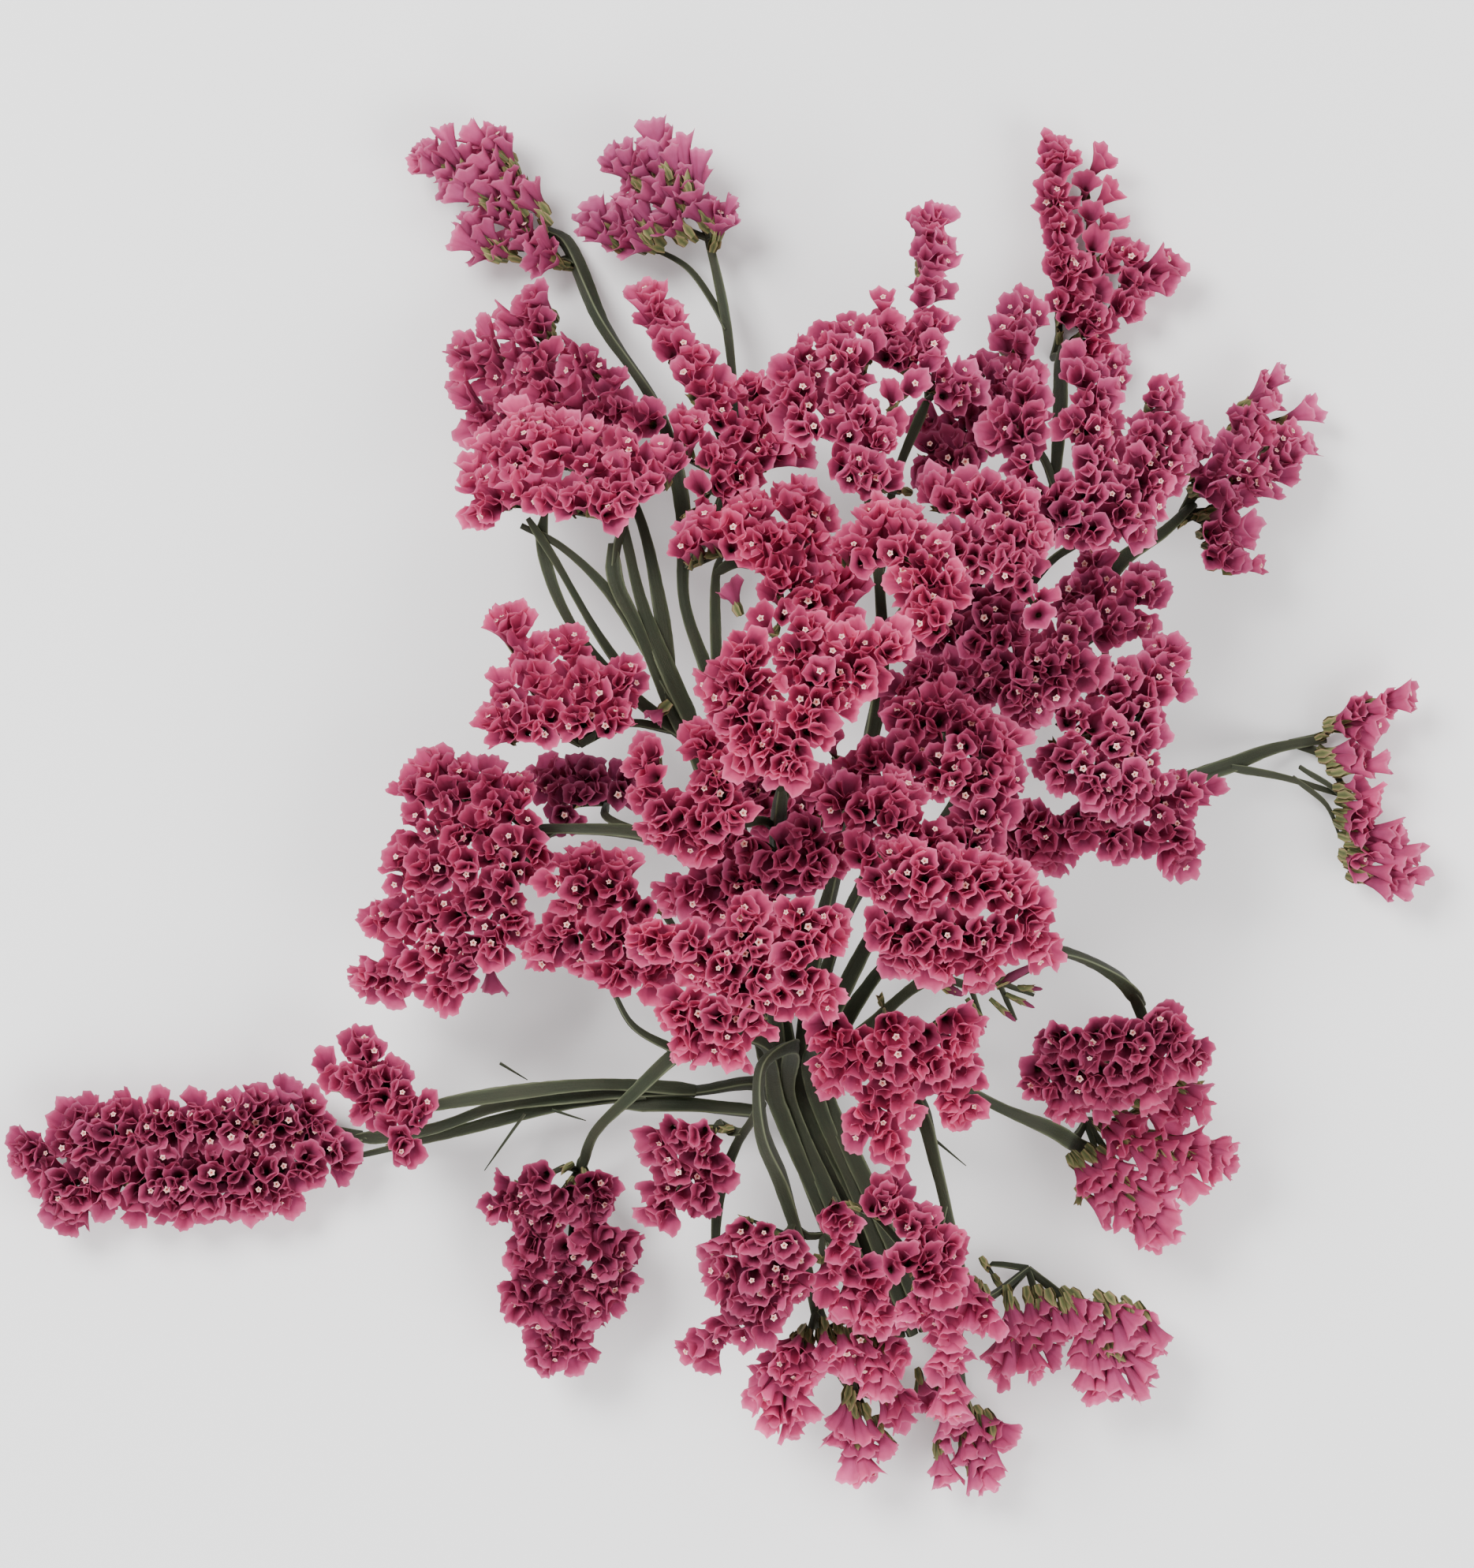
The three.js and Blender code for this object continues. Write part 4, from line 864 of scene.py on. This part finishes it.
class Spray:
    """A head's base, which slopes to where the head faces and droops from its middle."""

    def __init__(self, name, head):
        self.name = name
        self.head = head
        self.middle = np.mean([point for comb in head.combs for point in comb], axis=0)
        azimuth, elevation = head.face
        low = head.height < LOW_HEAD
        steepness = 0 if low else min(1 / tan(radians(elevation)), STEEPEST)
        self.slope = steepness * direction(azimuth, 0)[:2]
        self.droop = 0 if low else DROOP / DROOP_REACH**2
        self.axis = direction(azimuth, max(elevation, LOWEST_LEAN))
        self.sideways = direction(azimuth, elevation) - self.axis

    def base(self, place):
        offset = np.asarray(place, float) - self.middle
        drop = offset @ self.slope + self.droop * (offset**2).sum(-1)
        return np.array([*place, self.head.height - drop])

    def square(self, place):
        tilt = self.slope + 2 * self.droop * (np.asarray(place)[:2] - self.middle)
        return unit(np.array([*tilt, 1.0]))

    def over(self, place, height):
        """A place above the base, along the axis and spreading from the middle."""
        spread = (np.asarray(place) - self.middle) * SPLAY * height / MOUTH_HEIGHT
        return self.base(place) + np.array([*spread, 0]) + self.axis * height

    def comb_course(self, points, depth):
        line = course_through([self.base(point) for point in points], 1.5)
        return np.array([place - self.square(place) * depth for place in line])


SPRAYS = {name: Spray(name, head) for name, head in HEADS.items()}
print("sprays:", len(SPRAYS), "the highest at", max(head.height for head in HEADS.values()), "mm")

# %% The cells that a head has
CELL_PITCH = 9.4
DISH_HEIGHT = 5.8
LATTICE_SPAN = 14
CELL_REACH = 2.0
NEIGHBOURS = [(1, 0), (0, 1), (-1, 1), (-1, 0), (0, -1), (1, -1)]


def lattice_place(head, q, r):
    foot = np.array(head.combs[0][0], float)
    run, rise = np.array(head.combs[0][-1], float) - foot
    turn = np.arctan2(rise, run)
    x = CELL_PITCH * (q + r / 2)
    y = CELL_PITCH * sqrt(3 / 4) * r
    return foot + np.array([x * cos(turn) - y * sin(turn), x * sin(turn) + y * cos(turn)])


def present_cells(spray):
    """Cells whose dish the solid has, looked for close to where it should be."""
    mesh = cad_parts[f"head_{spray.name}"].data
    corners = [vertex.co for vertex in mesh.vertices]
    solid = BVHTree.FromPolygons(corners, [face.vertices for face in mesh.polygons])
    cells = []
    for q in range(-LATTICE_SPAN, LATTICE_SPAN + 1):
        for r in range(-LATTICE_SPAN, LATTICE_SPAN + 1):
            dish = spray.over(lattice_place(spray.head, q, r), DISH_HEIGHT)
            distance = solid.find_nearest(Vector((dish - BOX_MIDDLE) * MM))[3]
            if distance < CELL_REACH * MM:
                cells.append((q, r))
    return cells


CELLS = {name: present_cells(spray) for name, spray in SPRAYS.items()}
print("cells found:", sum(len(cells) for cells in CELLS.values()))

# %% The places of the calyxes
EDGE_PULL = 0.25
LEFT_OUT = 0.2
SIDE_STEP = 2.4
SIDE_COMB_SPACING = 4


def calyx_places(spray, cells):
    """The middles of the cells and of the sides between them. A side with no cell beyond it
    has its place drawn in, and sometimes none."""
    places = []
    sides = {}
    for q, r in cells:
        middle = lattice_place(spray.head, q, r)
        places.append(middle)
        for dq, dr in NEIGHBOURS:
            sides.setdefault((2 * q + dq, 2 * r + dr), []).append(middle)
    for (q, r), owners in sorted(sides.items()):
        side = lattice_place(spray.head, q / 2, r / 2)
        if len(owners) == 2:
            places.append(side)
        elif rng.random() > LEFT_OUT:
            places.append(side + (owners[0] - side) * EDGE_PULL)
    return places


def side_comb_places(spray):
    """Calyxes to the left and right in turn, along the small combs that no solid stands for."""
    places = []
    for comb in SIDE_COMBS.get(spray.name, []):
        line = course_through([[x, y, 0] for x, y in comb], 1.0)
        beside = np.cross(np.gradient(line, axis=0), [0, 0, 1])
        for k, spot in enumerate(range(0, len(line), SIDE_COMB_SPACING)):
            places.append((line[spot] + (-1) ** k * SIDE_STEP * unit(beside[spot]))[:2])
    return places


PLACES = {}
for name, spray in SPRAYS.items():
    PLACES[name] = calyx_places(spray, CELLS[name]) + side_comb_places(spray)
print("calyxes:", sum(len(places) for places in PLACES.values()))

# %% [markdown]
# ## Calyxes, one funnel at a time
# Seen alone, a calyx is a funnel about 13 mm long: a narrow tube on the comb, then a limb that
# flares into five crimped lobes about 9 mm across. Each one is built as rings of corners along
# a bent line from the comb to its mouth. Waves round the rings make the lobes, and a small
# zigzag at the rim makes the crimps. Every funnel draws its own spin, lean, size and waves, and
# is pressed a little flat, as dry calyxes are.

# %% The rings of a funnel
# For each ring, from the foot to the rim: how far along it is, its radius, how much the waves
# move it, and how near the rim it is.
AROUND = 24
TURN = np.linspace(0, 2 * pi, AROUND, endpoint=False)
ZIGZAG = np.where(np.arange(AROUND) % 2, 1.0, -1.0)
RING_SHARE = np.array([0.0, 0.36, 0.62, 0.81, 0.94, 1.0])
RING_RADIUS = np.array([0.5, 1.0, 1.8, 2.9, 3.85, 4.35])
RING_WAVE = np.array([0.0, 0.05, 0.2, 0.5, 0.85, 1.0])[:, None]
RING_RIM = np.array([0.0, 0.16, 0.40, 0.62, 0.86, 1.0])
FUNNEL_FACES = strip_faces(len(RING_SHARE), AROUND, True)
RIM = np.repeat(RING_RIM, AROUND)
FLATTEST = 0.38
LEAN = 0.24
# How much the waves widen the mouth, and how much they lift its rim.
LOBE_SPREAD = 0.10
OVAL_SPREAD = 0.08
CRIMP_SPREAD = 0.06
LOBE_LIFT = 0.5
WAVE_LIFT = 0.6
CRIMP_LIFT = 0.36
LOWEST_PAPER = 0.4
# How much one calyx differs from its spray.
TONE_CHANGE = 0.09
LILAC_CHANGE = 0.08


def bent_line(start, knee, end, share):
    s = share[:, None]
    return start * (1 - s) ** 2 + knee * 2 * s * (1 - s) + end * s**2


def lobe_wave(count, size):
    """A wave round the mouth with so many crests, at a drawn turn."""
    return size * np.cos(count * TURN + rng.uniform(0, 2 * pi))


print("one funnel has", 2 * len(FUNNEL_FACES), "triangles")

# %% One funnel
def funnel(gather, start, knee, mouth, size, tone, lilac):
    line = bent_line(start, knee, mouth, RING_SHARE)
    ahead = unit(unit(mouth - knee) + rng.normal(0, LEAN, 3))
    side = any_side(ahead)
    up = np.cross(ahead, side)
    lobes = lobe_wave(5, 1.0)
    crimps = ZIGZAG * rng.uniform(0.2, 1.0, AROUND)
    oval = lobe_wave(2, OVAL_SPREAD)
    spread = 1 + RING_WAVE * (LOBE_SPREAD * lobes + oval + CRIMP_SPREAD * crimps)
    radius = size * RING_RADIUS[:, None] * spread
    waves = lobe_wave(5, LOBE_LIFT) + lobe_wave(3, WAVE_LIFT)
    lift = size * RING_WAVE * (waves + CRIMP_LIFT * crimps)
    across = radius * np.cos(TURN)
    upward = radius * np.sin(TURN) * (1 - rng.uniform(0, FLATTEST))
    ring = across[..., None] * side + upward[..., None] * up
    corners = line[:, None, :] + ring + lift[..., None] * ahead
    corners[..., 2] = np.maximum(corners[..., 2], LOWEST_PAPER)
    flared = (RING_RIM > 0.1)[:, None] * (1 - RING_RIM[:, None] ** 4)
    vein = flared * np.clip(lobes, 0, 1) ** 4
    gather.add(corners, FUNNEL_FACES, rim=RIM, vein=vein.ravel(),
               tone=np.clip(tone + rng.normal(0, TONE_CHANGE), 0, 1),
               lilac=np.clip(lilac + rng.normal(0, LILAC_CHANGE), 0, 1))


print("its mouth is", 2 * RING_RADIUS.max(), "mm across")

# %% [markdown]
# ## Corollas and bracts
# The corolla peeps out of some calyxes as a cream speck: a tiny crumpled star. Boat-shaped
# bracts clasp the tube of every calyx, and they make the underside of a spray look green and
# combed. An upright calyx hides all but one of them, and one that lies on its side shows three.

# %% One corolla
STAR_CORNERS = 10
STAR_TURN = np.linspace(0, 2 * pi, STAR_CORNERS, endpoint=False)
STAR_RADII = np.array([0.12, 0.5, 0.85])[:, None]
STAR_HEIGHTS = np.array([0.0, 0.55, 0.45])[:, None]
STAR_RIM = np.repeat([0.0, 0.5, 1.0], STAR_CORNERS)
STAR_FACES = strip_faces(3, STAR_CORNERS, True)


def corolla(gather, place, ahead):
    side = any_side(ahead)
    up = np.cross(ahead, side)
    size = rng.uniform(0.75, 1.2)
    points = 1 + 0.18 * np.cos(5 * STAR_TURN) + rng.normal(0, 0.06, STAR_CORNERS)
    radius = STAR_RADII * points
    height = STAR_HEIGHTS + rng.normal(0, 0.1, (3, STAR_CORNERS))
    ring = np.cos(STAR_TURN)[:, None] * side + np.sin(STAR_TURN)[:, None] * up
    corners = place + size * (radius[..., None] * ring + height[..., None] * ahead)
    gather.add(corners, STAR_FACES, rim=STAR_RIM)


print("one corolla has", 2 * len(STAR_FACES), "triangles")

# %% One bract
BRACT_ROWS = np.array([0.0, 0.4, 0.78, 1.0])
BRACT_WIDTHS = np.array([0.7, 1.0, 0.62, 0.06])
BRACT_TURN = np.radians([-75, -38, 0, 38, 75])
BRACT_FACES = strip_faces(len(BRACT_ROWS), len(BRACT_TURN), False)
BRACT_GAP = 0.55
BRACT_LEAN = 0.75
KEEL = 0.3
MARGIN = 0.9


def bract(gather, root, ahead, out, length, width):
    """A boat-shaped scale that starts at a root, leans out and clasps what is inside it."""
    side = np.cross(ahead, out)
    widths = (width * BRACT_WIDTHS)[:, None]
    leaning = (BRACT_GAP + BRACT_LEAN * BRACT_ROWS**1.5)[:, None]
    middle = root + BRACT_ROWS[:, None] * length * ahead + leaning * out
    across = widths * np.sin(BRACT_TURN)
    keel = KEEL * (BRACT_TURN == 0) * (1 - BRACT_ROWS[:, None])
    outward = keel - widths * (1 - np.cos(BRACT_TURN))
    corners = middle[:, None, :] + across[..., None] * side + outward[..., None] * out
    margin = MARGIN * np.abs(BRACT_TURN / BRACT_TURN[-1]) ** 3
    rim = np.maximum(margin[None, :], BRACT_ROWS[:, None] ** 3) + rng.normal(0, 0.05)
    gather.add(corners, BRACT_FACES, rim=np.clip(rim, 0, 1).ravel())


def clasping_bracts(gather, root, ahead, count, length, width):
    out = any_side(ahead)
    beside = np.cross(ahead, out)
    for k in range(count):
        turn = 2 * pi * k / count
        bract(gather, root, ahead, out * cos(turn) + beside * sin(turn),
              length * rng.uniform(0.85, 1.12), width * rng.uniform(0.85, 1.15))


print("one bract has", 2 * len(BRACT_FACES), "triangles")

# %% [markdown]
# ## Dressing the sprays
# Every calyx grows from the nearest comb. Its tube starts beside the comb, under the base, bends
# out and opens at its place above. That is why the rows of a real spray fan out to both sides.
# Small bracts also sit along the combs themselves.

# %% A calyx on its comb
# Where a tube starts under the base, and where its mouth is above it.
TUBE_START = 3.2
MOUTH_LEVEL = 9.4
LEVEL_CHANGE = 1.3
LOWEST_MOUTH = 4.2
LOWEST_START = 0.7
# The knee is the point that bends the tube, at a share of the way to the mouth.
ROOT_SPREAD = 0.12
KNEE_SHARE = 0.42
KNEE_RISE = 1.1
KNEE_DRAW = 0.10
SMALLEST = 0.86
LARGEST = 1.1
SIDEWAYS = 2.2
WITH_COROLLA = 0.26
COROLLA_DEPTH = 1.3
# How many bracts clasp a calyx, and their length.
UPRIGHT_BRACTS = (1, 5.8)
LYING_BRACTS = (3, 6.6)
BRACT_WIDTH = 1.7


def grow_calyx(spray, place, combs, calyxes, bracts, corollas):
    """A calyx from its comb. Where the spray faces sideways, its calyxes lie back with it."""
    nearest = combs[np.argmin(np.linalg.norm(combs[:, :2] - place, axis=1))]
    mouth = spray.over(place, MOUTH_LEVEL + rng.normal(0, LEVEL_CHANGE))
    mouth[2] = max(mouth[2], LOWEST_MOUTH)
    fan = np.array([*(place - nearest[:2]), 0.0])
    rise = mouth - nearest - ROOT_SPREAD * fan
    ahead = unit(unit(rise) + SIDEWAYS * spray.sideways)
    start = mouth - ahead * np.linalg.norm(rise)
    start[2] = max(start[2], LOWEST_START)
    knee = start + KNEE_SHARE * (mouth - start) + KNEE_RISE * ahead - KNEE_DRAW * fan
    size = rng.uniform(SMALLEST, LARGEST)
    funnel(calyxes, start, knee, mouth, size, spray.head.tone, spray.head.lilac)
    if rng.random() < WITH_COROLLA:
        out = unit(mouth - knee)
        corolla(corollas, mouth - COROLLA_DEPTH * out, out)
    count, length = LYING_BRACTS if np.any(spray.sideways) else UPRIGHT_BRACTS
    clasping_bracts(bracts, start, unit(knee - start), count, length, BRACT_WIDTH)


print("a tube starts", TUBE_START, "mm under the base")

# %% Fill every spray
PLACE_CHANGE = 0.55
COMB_BRACT_STEP = 4
COMB_BRACT_COUNT = 3
COMB_BRACT_LENGTH = 4.6
COMB_BRACT_WIDTH = 1.3
COMB_BRACT_RISE = 0.6
LOWEST_BRACT = 1.2


def dress(spray):
    calyxes = Gathering()
    bracts = Gathering()
    corollas = Gathering()
    lines = spray.head.combs + SIDE_COMBS.get(spray.name, [])
    courses = [spray.comb_course(line, TUBE_START) for line in lines]
    combs = np.vstack(courses)
    for place in PLACES[spray.name]:
        drawn = place + rng.normal(0, PLACE_CHANGE, 2)
        grow_calyx(spray, drawn, combs, calyxes, bracts, corollas)
    for course in courses:
        for here, there in zip(course[::COMB_BRACT_STEP], course[1::COMB_BRACT_STEP]):
            root = np.maximum(here, [-np.inf, -np.inf, LOWEST_BRACT])
            ahead = unit(there - here + COMB_BRACT_RISE * spray.axis)
            clasping_bracts(bracts, root, ahead, COMB_BRACT_COUNT, COMB_BRACT_LENGTH, COMB_BRACT_WIDTH)
    calyxes.piece(f"calyxes_{spray.name}", CALYX, [f"head_{spray.name}"])
    bracts.piece(f"bracts_{spray.name}", BRACT)
    if corollas.count:
        corollas.piece(f"corollas_{spray.name}", COROLLA)


for spray in SPRAYS.values():
    dress(spray)
print("sprays dressed:", len(SPRAYS))

# %% [markdown]
# ## Winged stems
# A statice stem is ridged and carries three thin wings. A section with three tips is swept
# along each course. The wings grow and shrink along the way, and the section turns slowly, so
# that light catches the wings here and there, as it does on the dried stems.

# %% The section of a stem
# Three times round: two corners at a wing's tip, two at its sides, and one on the ridge between.
WING_OFFSETS = np.radians([-60, -20, -4, 4, 20])
SECTION_TURN = np.concatenate([WING_OFFSETS + k * 2 * pi / 3 for k in range(3)])
SECTION_COUNT = len(SECTION_TURN)
IS_WING = np.tile([0, 0, 1, 1, 0], 3)
BODY = np.tile([0.9, 1.0, 1.0, 1.0, 1.0], 3)
TWIST = 0.012
WING_MEAN = 0.6
WING_SWING = 0.4
WING_WAVE = 11.0
END_FADE = 6.0
UNEVEN = 0.02
LOWEST_STEM = 0.05


def closed_end(gather, middle, ring, cut):
    """A fan of triangles over one end of a stem."""
    fan = [(k, (k + 1) % SECTION_COUNT, SECTION_COUNT) for k in range(SECTION_COUNT)]
    gather.add(np.vstack([ring, middle]), fan, edge=0.0, cut=cut, along=0.0, around=0.0)


print("corners round a stem:", SECTION_COUNT)

# %% A winged rod
def winged_rod(gather, points, radius, wing, end_radius, step=2.0, cut=0.0):
    course = course_through(points, step)
    along = lengths_along(course)
    side, up = frames_along(course, TWIST)
    thick = radius + (end_radius - radius) * along / along[-1]
    growth = WING_MEAN + WING_SWING * np.sin(along / WING_WAVE + rng.uniform(0, 2 * pi))
    fade = np.clip(np.minimum(along, along[-1] - along) / END_FADE, 0, 1)
    reach = thick[:, None] * BODY + IS_WING * (wing * growth * fade)[:, None]
    reach = reach * (1 + rng.normal(0, UNEVEN, reach.shape))
    across = (reach * np.cos(SECTION_TURN))[..., None] * side[:, None, :]
    upward = (reach * np.sin(SECTION_TURN))[..., None] * up[:, None, :]
    corners = course[:, None, :] + across + upward
    corners[..., 2] = np.maximum(corners[..., 2], LOWEST_STEM)
    gather.add(corners, strip_faces(len(course), SECTION_COUNT, True),
               edge=np.tile(IS_WING, len(course)), cut=0.0,
               along=np.repeat(along, SECTION_COUNT), around=np.tile(SECTION_TURN, len(course)))
    closed_end(gather, course[0], corners[0][::-1], cut)
    closed_end(gather, course[-1], corners[-1], 0.0)


print("a wing fades out over", END_FADE, "mm at each end")

# %% [markdown]
# ## Stems, branches and combs
# The cut stems run side by side up to the neck, and then each takes its own way. A branch
# leaves its stem or a twig, whichever passes nearer to the head, some way before the head. From
# its end a thin axis runs on under every comb.

# %% The courses of stems and branches
# A branch leaves at this many reaches before the nearest place, and bends on the way.
HUB_DEPTH = 10
BRANCH_LEAD = 0.8
BRANCH_RUN = 0.4
BRANCH_TURN = 0.35
PAST_NECK = 0.04


def stem_course(stem):
    bundle = unit(NECK - CUT_END)
    across = unit(np.array([bundle[1], -bundle[0], 0.0]))
    column, layer = stem.slot
    shift = across * column * BUNDLE_PITCH + np.array([0, 0, layer * BUNDLE_PITCH])
    straight = [CUT_END + (NECK - CUT_END) * share + shift for share in (0, 0.5, 1)]
    return straight + [np.array(point, float) for point in stem.path]


def hub_of(spray):
    feet = np.mean([comb[0] for comb in spray.head.combs], axis=0)
    hub = spray.base(feet) - HUB_DEPTH * direction(*spray.head.face)
    hub[2] = max(hub[2], 1.0)
    return hub


def nearest_on(points, first, hub):
    """How near a course comes to a hub past a first length, where, and the course itself."""
    course = course_through(points, 1.0)
    along = lengths_along(course)
    first += PAST_NECK * along[-1]
    gaps = np.where(along < first, np.inf, np.linalg.norm(course - hub, axis=1))
    nearest = int(np.argmin(gaps))
    return gaps[nearest], along[nearest], first, course


def branch_points(stem, hub):
    own = stem_course(stem)
    neck = lengths_along(course_through(own[:4], 1.0))[-1]
    choices = [nearest_on(own, neck, hub)]
    choices += [nearest_on(twig[1:], 0.0, hub) for twig in stem.twigs]
    reach, nearest, first, course = min(choices, key=lambda choice: choice[0])
    leave = max(nearest - BRANCH_LEAD * reach, first)
    start = at_length(course, leave)
    ahead = unit(at_length(course, leave + 1.0) - start)
    bend = start + ahead * reach * BRANCH_RUN
    return [start, bend + (hub - bend) * BRANCH_TURN, hub]


print("a hub lies", HUB_DEPTH, "mm behind the feet of its combs")

# %% Build every stem
# Radii at the start and the end of each kind of rod, and how far its wings stand out.
STEM_RADIUS = 1.8
STEM_END = 1.4
STEM_WING = 1.3
TWIG_SWELL = 1.5
TWIG_SHARE = 0.6
BRANCH_RADIUS = 1.3
BRANCH_END = 1.0
BRANCH_WING = 0.8
COMB_RADIUS = 1.1
COMB_WING = 0.5
SIDE_COMB_RADIUS = 0.8
SIDE_COMB_WING = 0.3
COMB_END = 0.35
COMB_STEP = 3.0
COMB_DEPTH = TUBE_START + 0.6


def build_stem(name, stem):
    gather = Gathering()
    winged_rod(gather, stem_course(stem), STEM_RADIUS, STEM_WING, STEM_END, cut=1.0)
    for radius, *points in stem.twigs + THIN_AXES.get(name, []):
        thick = TWIG_SWELL * radius
        winged_rod(gather, points, thick, TWIG_SHARE * thick, TWIG_SHARE * thick)
    for spray in SPRAYS.values():
        if spray.head.stem == name:
            hub = hub_of(spray)
            winged_rod(gather, branch_points(stem, hub), BRANCH_RADIUS, BRANCH_WING, BRANCH_END)
            for comb in spray.head.combs:
                line = spray.comb_course(comb, COMB_DEPTH)
                axis = [hub, *line[2::3], line[-1]]
                winged_rod(gather, axis, COMB_RADIUS, COMB_WING, COMB_END, COMB_STEP)
            for comb in SIDE_COMBS.get(spray.name, []):
                line = spray.comb_course(comb, COMB_DEPTH)
                winged_rod(gather, line, SIDE_COMB_RADIUS, SIDE_COMB_WING, COMB_END, COMB_STEP)
    gather.piece(f"winged_stem_{name}", STEM, [f"stem_{name}"])


for name, stem in STEMS.items():
    build_stem(name, stem)
lengths = [lengths_along(course_through(stem_course(stem), 1.0))[-1] for stem in STEMS.values()]
print("stems built:", len(STEMS), "the longest is", round(max(lengths)), "mm")

# %% [markdown]
# ## Buds, single calyxes and dry whiskers
# A few twigs end in closed buds, which are slim, olive and tipped with purple. Here and there a
# calyx stands alone beside its spray, and a thin dry leaf sticks out from a stem. The same
# funnel and bract serve for them, with other sizes.

# %% Where they are
BUDS = [
    ((57.5, -56.3, 61), (63.2, -58.9, 61), 1.5),
    ((64.1, -59.8, 60), (69.6, -68.0, 60), 1.0),
    ((70.6, -59.9, 59), (77.8, -66.3, 59), 1.0),
    ((75.0, -58.6, 59), (83.1, -62.5, 59), 1.0),
    ((78.3, -56.8, 58), (85.4, -57.3, 58), 1.0),
    ((65.4, -57.6, 61), (69.8, -53.6, 61), 1.4),
    ((72.1, -56.4, 59), (82.7, -50.6, 59), 1.7),
]
SINGLES = [
    ((1.2, 47.1, 58), (-2.1, 55.1, 58)),
    ((-18.8, 23.1, 42), (-23.7, 18.2, 42)),
    ((-71.2, -47.5, 30), (-68.9, -59.2, 30)),
]
WHISKERS = [
    ((-67.7, -79.7, 22), (-59.9, -84.6, 20)),
    ((-60.6, -94.3, 19), (-72.4, -110.8, 16)),
    ((-52.9, -93.1, 20), (-43.2, -96.3, 19)),
    ((53.9, -98.0, 62), (63.9, -106.5, 60)),
]
print("buds:", len(BUDS), "single calyxes:", len(SINGLES), "whiskers:", len(WHISKERS))

# %% Build them
BUD_SHARES = np.array([0.1, 0.4, 0.7, 0.92, 1.0])
BUD_RADII = np.array([0.5, 0.9, 0.75, 0.5, 0.15])
BUD_AROUND = 8
BUD_TURN = np.linspace(0, 2 * pi, BUD_AROUND, endpoint=False)
BUD_FACES = strip_faces(len(BUD_SHARES), BUD_AROUND, True)
BUD_BRACT_SHARE = 0.72


def bud(tips, bracts, root, tip, width):
    root = np.array(root, float)
    tip = np.array(tip, float)
    ahead = unit(tip - root)
    length = np.linalg.norm(tip - root)
    clasping_bracts(bracts, root, ahead, 4, BUD_BRACT_SHARE * length, width)
    side = any_side(ahead)
    up = np.cross(ahead, side)
    radii = width * BUD_RADII
    ring = np.cos(BUD_TURN)[:, None] * side + np.sin(BUD_TURN)[:, None] * up
    middle = root + BUD_SHARES[:, None] * length * ahead
    corners = middle[:, None, :] + radii[:, None, None] * ring
    tips.add(corners, BUD_FACES, rim=np.repeat(BUD_SHARES * 0.6, BUD_AROUND),
             vein=0.0, tone=0.12, lilac=0.5)


def build_extras():
    single_calyxes = Gathering()
    scales = Gathering()
    whiskers = Gathering()
    for root, tip, width in BUDS:
        bud(single_calyxes, scales, root, tip, width)
    for root, mouth in SINGLES:
        start = np.array(root, float)
        end = np.array(mouth, float)
        funnel(single_calyxes, start, (start + end) / 2, end, 1.0, 0.6, 0.5)
        clasping_bracts(scales, start, unit(end - start), 3, 6.0, 1.8)
    for root, tip in WHISKERS:
        winged_rod(whiskers, [root, tip], 0.5, 0.2, 0.15)
    single_calyxes.piece("single_calyxes", CALYX)
    scales.piece("bud_scales", BRACT)
    whiskers.piece("dry_whiskers", STEM)


build_extras()
print("pieces beside the sprays are built")

# %% [markdown]
# ## Light, floor and camera
# The bunch lies on a pale floor under broad soft lights. It lies down, so the camera looks
# straight down on it, far enough away to flatten the view as the photograph does.

# %% Floor
def pale_floor():
    mesh = bpy.data.meshes.new("floor")
    mesh.from_pydata([(-3, -3, 0), (3, -3, 0), (3, 3, 0), (-3, 3, 0)], [], [(0, 1, 2, 3)])
    material, tree, shader = new_material("pale floor")
    patches, _ = mottled(tree, 3.0, 60.0)
    colour = mixed(tree, patches, (0.93, 0.93, 0.93), (0.95, 0.95, 0.95))
    surfaced(tree, shader, colour, 0.9)
    mesh.materials.append(material)
    floor = placed("floor", mesh)
    return floor


print("made the", pale_floor().name)

# %% Lights
LIGHT_AIM = 0.05


def soft_light(name, place, size, power):
    light = bpy.data.lights.new(name, "AREA")
    light.shape = "DISK"
    light.size = size
    light.energy = power
    lamp = placed(name, light)
    lamp.location = place
    ahead = Vector((0, 0, LIGHT_AIM)) - Vector(place)
    lamp.rotation_euler = ahead.to_track_quat("-Z", "Y").to_euler()


soft_light("key", (-1.1, 1.0, 1.9), 1.2, 72)
soft_light("fill", (1.5, -0.9, 1.6), 1.6, 42)
soft_light("low", (-0.4, -1.9, 0.9), 1.2, 18)
world = bpy.data.worlds.new("studio")
world.use_nodes = True
background = world.node_tree.nodes["Background"]
background.inputs["Color"].default_value = (1.0, 1.0, 1.0, 1.0)
background.inputs["Strength"].default_value = 1.0
bpy.context.scene.world = world

# %% Camera
VIEW_LENGTH = 0.4374
MIDDLE_HEIGHT = 0.060
DISTANCE = 1.6
SENSOR = 36.0
camera_data = bpy.data.cameras.new("camera")
camera_data.sensor_width = SENSOR
camera_data.lens = SENSOR * DISTANCE / VIEW_LENGTH
camera = placed("camera", camera_data)
camera.location = (-BOX_MIDDLE[0] * MM, -BOX_MIDDLE[1] * MM, MIDDLE_HEIGHT + DISTANCE)
bpy.context.scene.camera = camera
print("lens:", round(camera_data.lens, 1), "mm")
